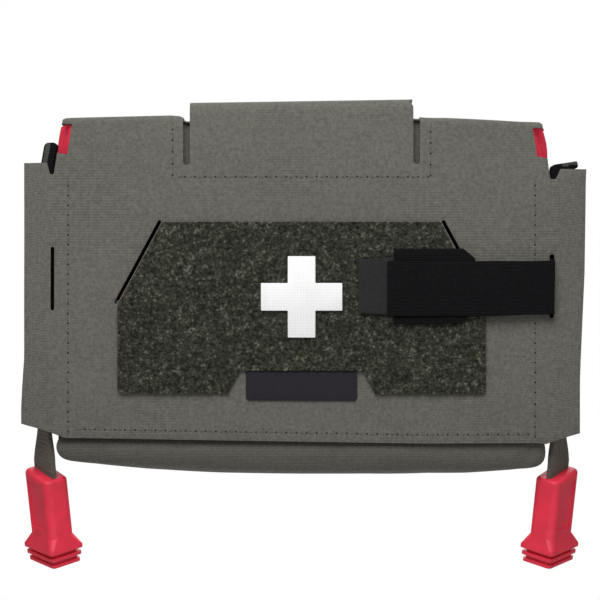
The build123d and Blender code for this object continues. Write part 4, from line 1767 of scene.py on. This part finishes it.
    def elastic(self, side: Side) -> None:
        """An elastic band over the folded tourniquet.

        Args:
            side: Which side.
        """
        node = side.named("insert_elastic")
        low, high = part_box(node)
        board = high.y
        thick, flange = self.band_thick, self.band_flange
        x = (low.x + high.x) / 2
        y_board, y_top = board - thick / 2, low.y + thick / 2
        corners = [
            Vector((x, y_board, high.z)),
            Vector((x, y_board, high.z - flange - thick / 2)),
            Vector((x, y_top, high.z - flange - thick / 2)),
            Vector((x, y_top, low.z + flange + thick / 2)),
            Vector((x, y_board, low.z + flange + thick / 2)),
            Vector((x, y_board, low.z)),
        ]
        piece = ribbon(node + "_band", path(corners, 2 * MM, 2.5 * MM), -RIGHT * (high.x - low.x), 12)
        pad_out(piece, thick, 0.25 * MM)
        fit(piece, "insert", ELASTIC, [node])
        y = board - thick - 0.05 * MM
        heights = (high.z - 2.5 * MM, high.z - 5.5 * MM, low.z + 2.5 * MM, low.z + 5.5 * MM)
        seams = [Seam.flat((low.x + MM, z), (high.x - MM, z), y) for z in heights]
        fit(FINE_SEWING.sew(node + "_stitching", seams, DARK_THREAD), "insert", DARK_THREAD)


# ---- tourniquet ----------------------------------------------------------------------------------


@dataclass
class Tourniquet:
    """The stowed windlass tourniquet: folded strap, buckle, base plate, windlass, clip and bands."""

    layer: float = 1.7 * MM
    layer_gap: float = 0.35 * MM
    narrowing: float = 0.8 * MM  # each inner turn is this much narrower

    def build(self) -> None:
        """Builds and dresses every piece."""
        self.strap()
        for node, finish, slot, edge in (
            ("tourniquet_buckle", TOURNIQUET_PLASTIC, "tourniquet_plastic", 0.7),
            ("tourniquet_plate", TOURNIQUET_PLASTIC, "tourniquet_plastic", 0.4),
            ("windlass_clip", TOURNIQUET_PLASTIC, "tourniquet_plastic", 0.6),
            ("windlass", ROD_METAL, "tourniquet_rod", 0.25),
            ("time_strap", TIME_CLOTH, "time_strap", 0.3),
            ("inner_band", TOURNIQUET_CLOTH, "tourniquet_fabric", 0.3),
        ):
            piece = cad_copy(node, node + "_finished")
            soften(piece, edge * MM, 40)
            fit(piece, "insert", finish, [node])

    def strap(self) -> None:
        """The strap, folded in flat turns one inside the other."""
        low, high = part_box("tourniquet_band")
        middle_y = (low.y + high.y) / 2
        outer = (high.y - low.y) / 2
        turns = []
        radius = outer - self.layer / 2
        while radius > self.layer:
            straight = high.x - outer
            line = []
            for end, first in ((1, -pi / 2), (-1, pi / 2)):
                for step in range(9):
                    angle = first + pi * step / 8
                    line.append(Vector((end * straight + radius * cos(angle), middle_y + radius * sin(angle),
                                        (low.z + high.z) / 2)))
            line = path([*line, line[0]], 0, 8 * MM)
            turns.append(ribbon("turn", line, UP * (high.z - low.z - self.narrowing * len(turns)), 6))
            radius -= self.layer + self.layer_gap
        for turn in turns:
            with editing(turn):
                bpy.ops.mesh.normals_make_consistent(inside=False)
            pad_out(turn, self.layer, 0.2 * MM)
        piece = join("tourniquet_strap_turns", turns)
        fit(piece, "insert", TOURNIQUET_CLOTH, ["tourniquet_band"])


# ---- pulls ---------------------------------------------------------------------------------------


@dataclass
class Pull:
    """A webbing pull on the insert's boxed corner, with its moulded grip."""

    side: Side
    turn: float = radians(49)
    top_turn: float = radians(62)
    width: float = 16 * MM
    thick: float = 2.2 * MM
    narrowed: float = 0.94  # the webbing's width at its top, as a share of the whole

    def build(self) -> None:
        """Builds and dresses the anchor, the webbing and the grip."""
        self.anchor()
        self.webbing()
        self.grip()

    def anchor(self) -> None:
        """The sewn end of the webbing on the boxed corner."""
        node = self.side.named("pull_anchor")
        piece = cad_copy(node, node + "_webbing")
        divide(piece, 3 * MM, "XYZ")
        soften(piece, 0.3 * MM)
        fit(piece, "insert", WEBBING, [node])

    def webbing(self) -> None:
        """The webbing from its fold down into the grip, with its twist."""
        node, tail = self.side.named("pull_webbing"), self.side.named("grip_tail")
        low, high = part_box(node)
        tail_low, tail_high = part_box(tail)
        sign = self.side.value
        top = Vector(((low.x + high.x) / 2, (low.y + high.y) / 2, high.z + 0.5 * MM))
        neck = Vector((top.x, top.y, low.z))
        tail_x, tail_y = (tail_low.x + tail_high.x) / 2, (tail_low.y + tail_high.y) / 2
        foot = Vector((tail_x - sign * 0.4 * MM, tail_y + 1.0 * MM, tail_low.z + 1 * MM))
        line = path([top, neck, foot], 4 * MM, 1.5 * MM)
        spans = []
        for point in line:
            share = ease((top.z - point.z) / (top.z - neck.z))
            angle = self.top_turn + (self.turn - self.top_turn) * share
            pinch = self.narrowed + (1 - self.narrowed) * share
            spans.append(Vector((sign * cos(angle), sin(angle), 0)) * self.width * pinch)
        piece = ribbon(node + "_strip", line, spans, 8)
        pad_out(piece, self.thick, 0.5 * MM)
        piece.data.materials.append(WEBBING.material())
        body, grip = self.side.named("pull"), self.side.named("grip")
        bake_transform(piece)
        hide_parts(node, tail)
        LOG.info("%s twists between %s and %s", piece.name, body, grip)

    def grip(self) -> None:
        """The moulded rubber grip."""
        node = self.side.named("pull_grip")
        piece = cad_copy(node, node + "_rubber")
        soften(piece, 0.3 * MM, 40)
        fit(piece, self.side.named("grip"), GRIP_RUBBER, [node])


# ---- studio --------------------------------------------------------------------------------------


@dataclass(frozen=True)
class Softbox:
    """A square soft light turned to the pouch, with its side in metres and its power in watts."""

    name: str
    place: Place
    size: float
    power: float
    aim: Place = (0, -0.03, -0.05)

    def build(self) -> None:
        """Stands the light up."""
        turned = (Vector(self.aim) - Vector(self.place)).to_track_quat("-Z", "Y").to_euler()
        bpy.ops.object.light_add(type="AREA", location=self.place, rotation=turned)
        light = bpy.context.object
        light.name = self.name
        light.data.shape = "SQUARE"
        light.data.size = self.size
        light.data.energy = self.power


@dataclass(frozen=True)
class Studio:
    """A pale floor, soft light and the camera."""

    floor_z: float = -0.5
    floor_half: float = 0.78
    camera_place: Place = (-0.0007, -0.689, -0.0459)
    lens: float = 85.0
    backdrop: float = 1.0
    fill: float = 0.27
    lights: tuple[Softbox, ...] = (
        Softbox("key_light", (-0.08, -0.55, 0.55), 0.5, 6.4),
        Softbox("fill_light", (0.45, -0.9, 0.0), 0.7, 0.6),
        Softbox("back_light", (0.1, 0.8, 0.5), 0.8, 8.0),
    )

    def build(self) -> None:
        """Builds the floor, lights, backdrop and camera."""
        self.floor()
        self.backdrop_light()
        for light in self.lights:
            light.build()
        bpy.ops.object.camera_add(location=self.camera_place, rotation=(pi / 2, 0, 0))
        camera = bpy.context.object
        camera.data.lens = self.lens
        camera.data.sensor_width = 36
        bpy.context.scene.camera = camera
        bpy.context.scene.view_settings.view_transform = "Standard"

    def floor(self) -> None:
        """A pale floor well under the hanging pouch."""
        half = self.floor_half
        bpy.ops.mesh.primitive_plane_add(size=2 * half, location=(0, 0, self.floor_z))
        floor = bpy.context.object
        floor.name = "floor"
        graph = Graph("pale_floor", Roughness=0.9)
        tint = graph.ramp(graph.noise(0.3, 2), [(0.3, (0.83, 0.83, 0.83)), (0.7, (0.88, 0.88, 0.88))])
        floor.data.materials.append(graph.done(tint, graph.noise(2 * MM, 2), 0.05 * MM))

    def backdrop_light(self) -> None:
        """An even pale surrounding, shown brighter than it lights."""
        world = bpy.data.worlds.new("studio")
        bpy.context.scene.world = world
        world.use_nodes = True
        tree = world.node_tree
        light = tree.nodes["Background"]
        rays = tree.nodes.new("ShaderNodeLightPath")
        strength = tree.nodes.new("ShaderNodeMapRange")
        strength.inputs["To Min"].default_value = self.fill
        strength.inputs["To Max"].default_value = self.backdrop
        tree.links.new(rays.outputs["Is Camera Ray"], strength.inputs["Value"])
        tree.links.new(strength.outputs["Result"], light.inputs["Strength"])
        light.inputs["Color"].default_value = (1, 1, 1, 1)


def main() -> None:
    """Builds the pouch and its studio."""
    logging.basicConfig(level=logging.INFO, format="%(message)s")
    Sleeve().build()
    Hanger().build()
    Strap().build()
    Insert().build()
    Tourniquet().build()
    for side in Side:
        Pull(side).build()
    for node in ("back_stiffener", "insert_stiffener"):
        materials = frame["nodes"][node].data.materials
        materials.clear()
        materials.append(BOARD.material())
    Studio().build()


if __name__ == "__main__":
    main()
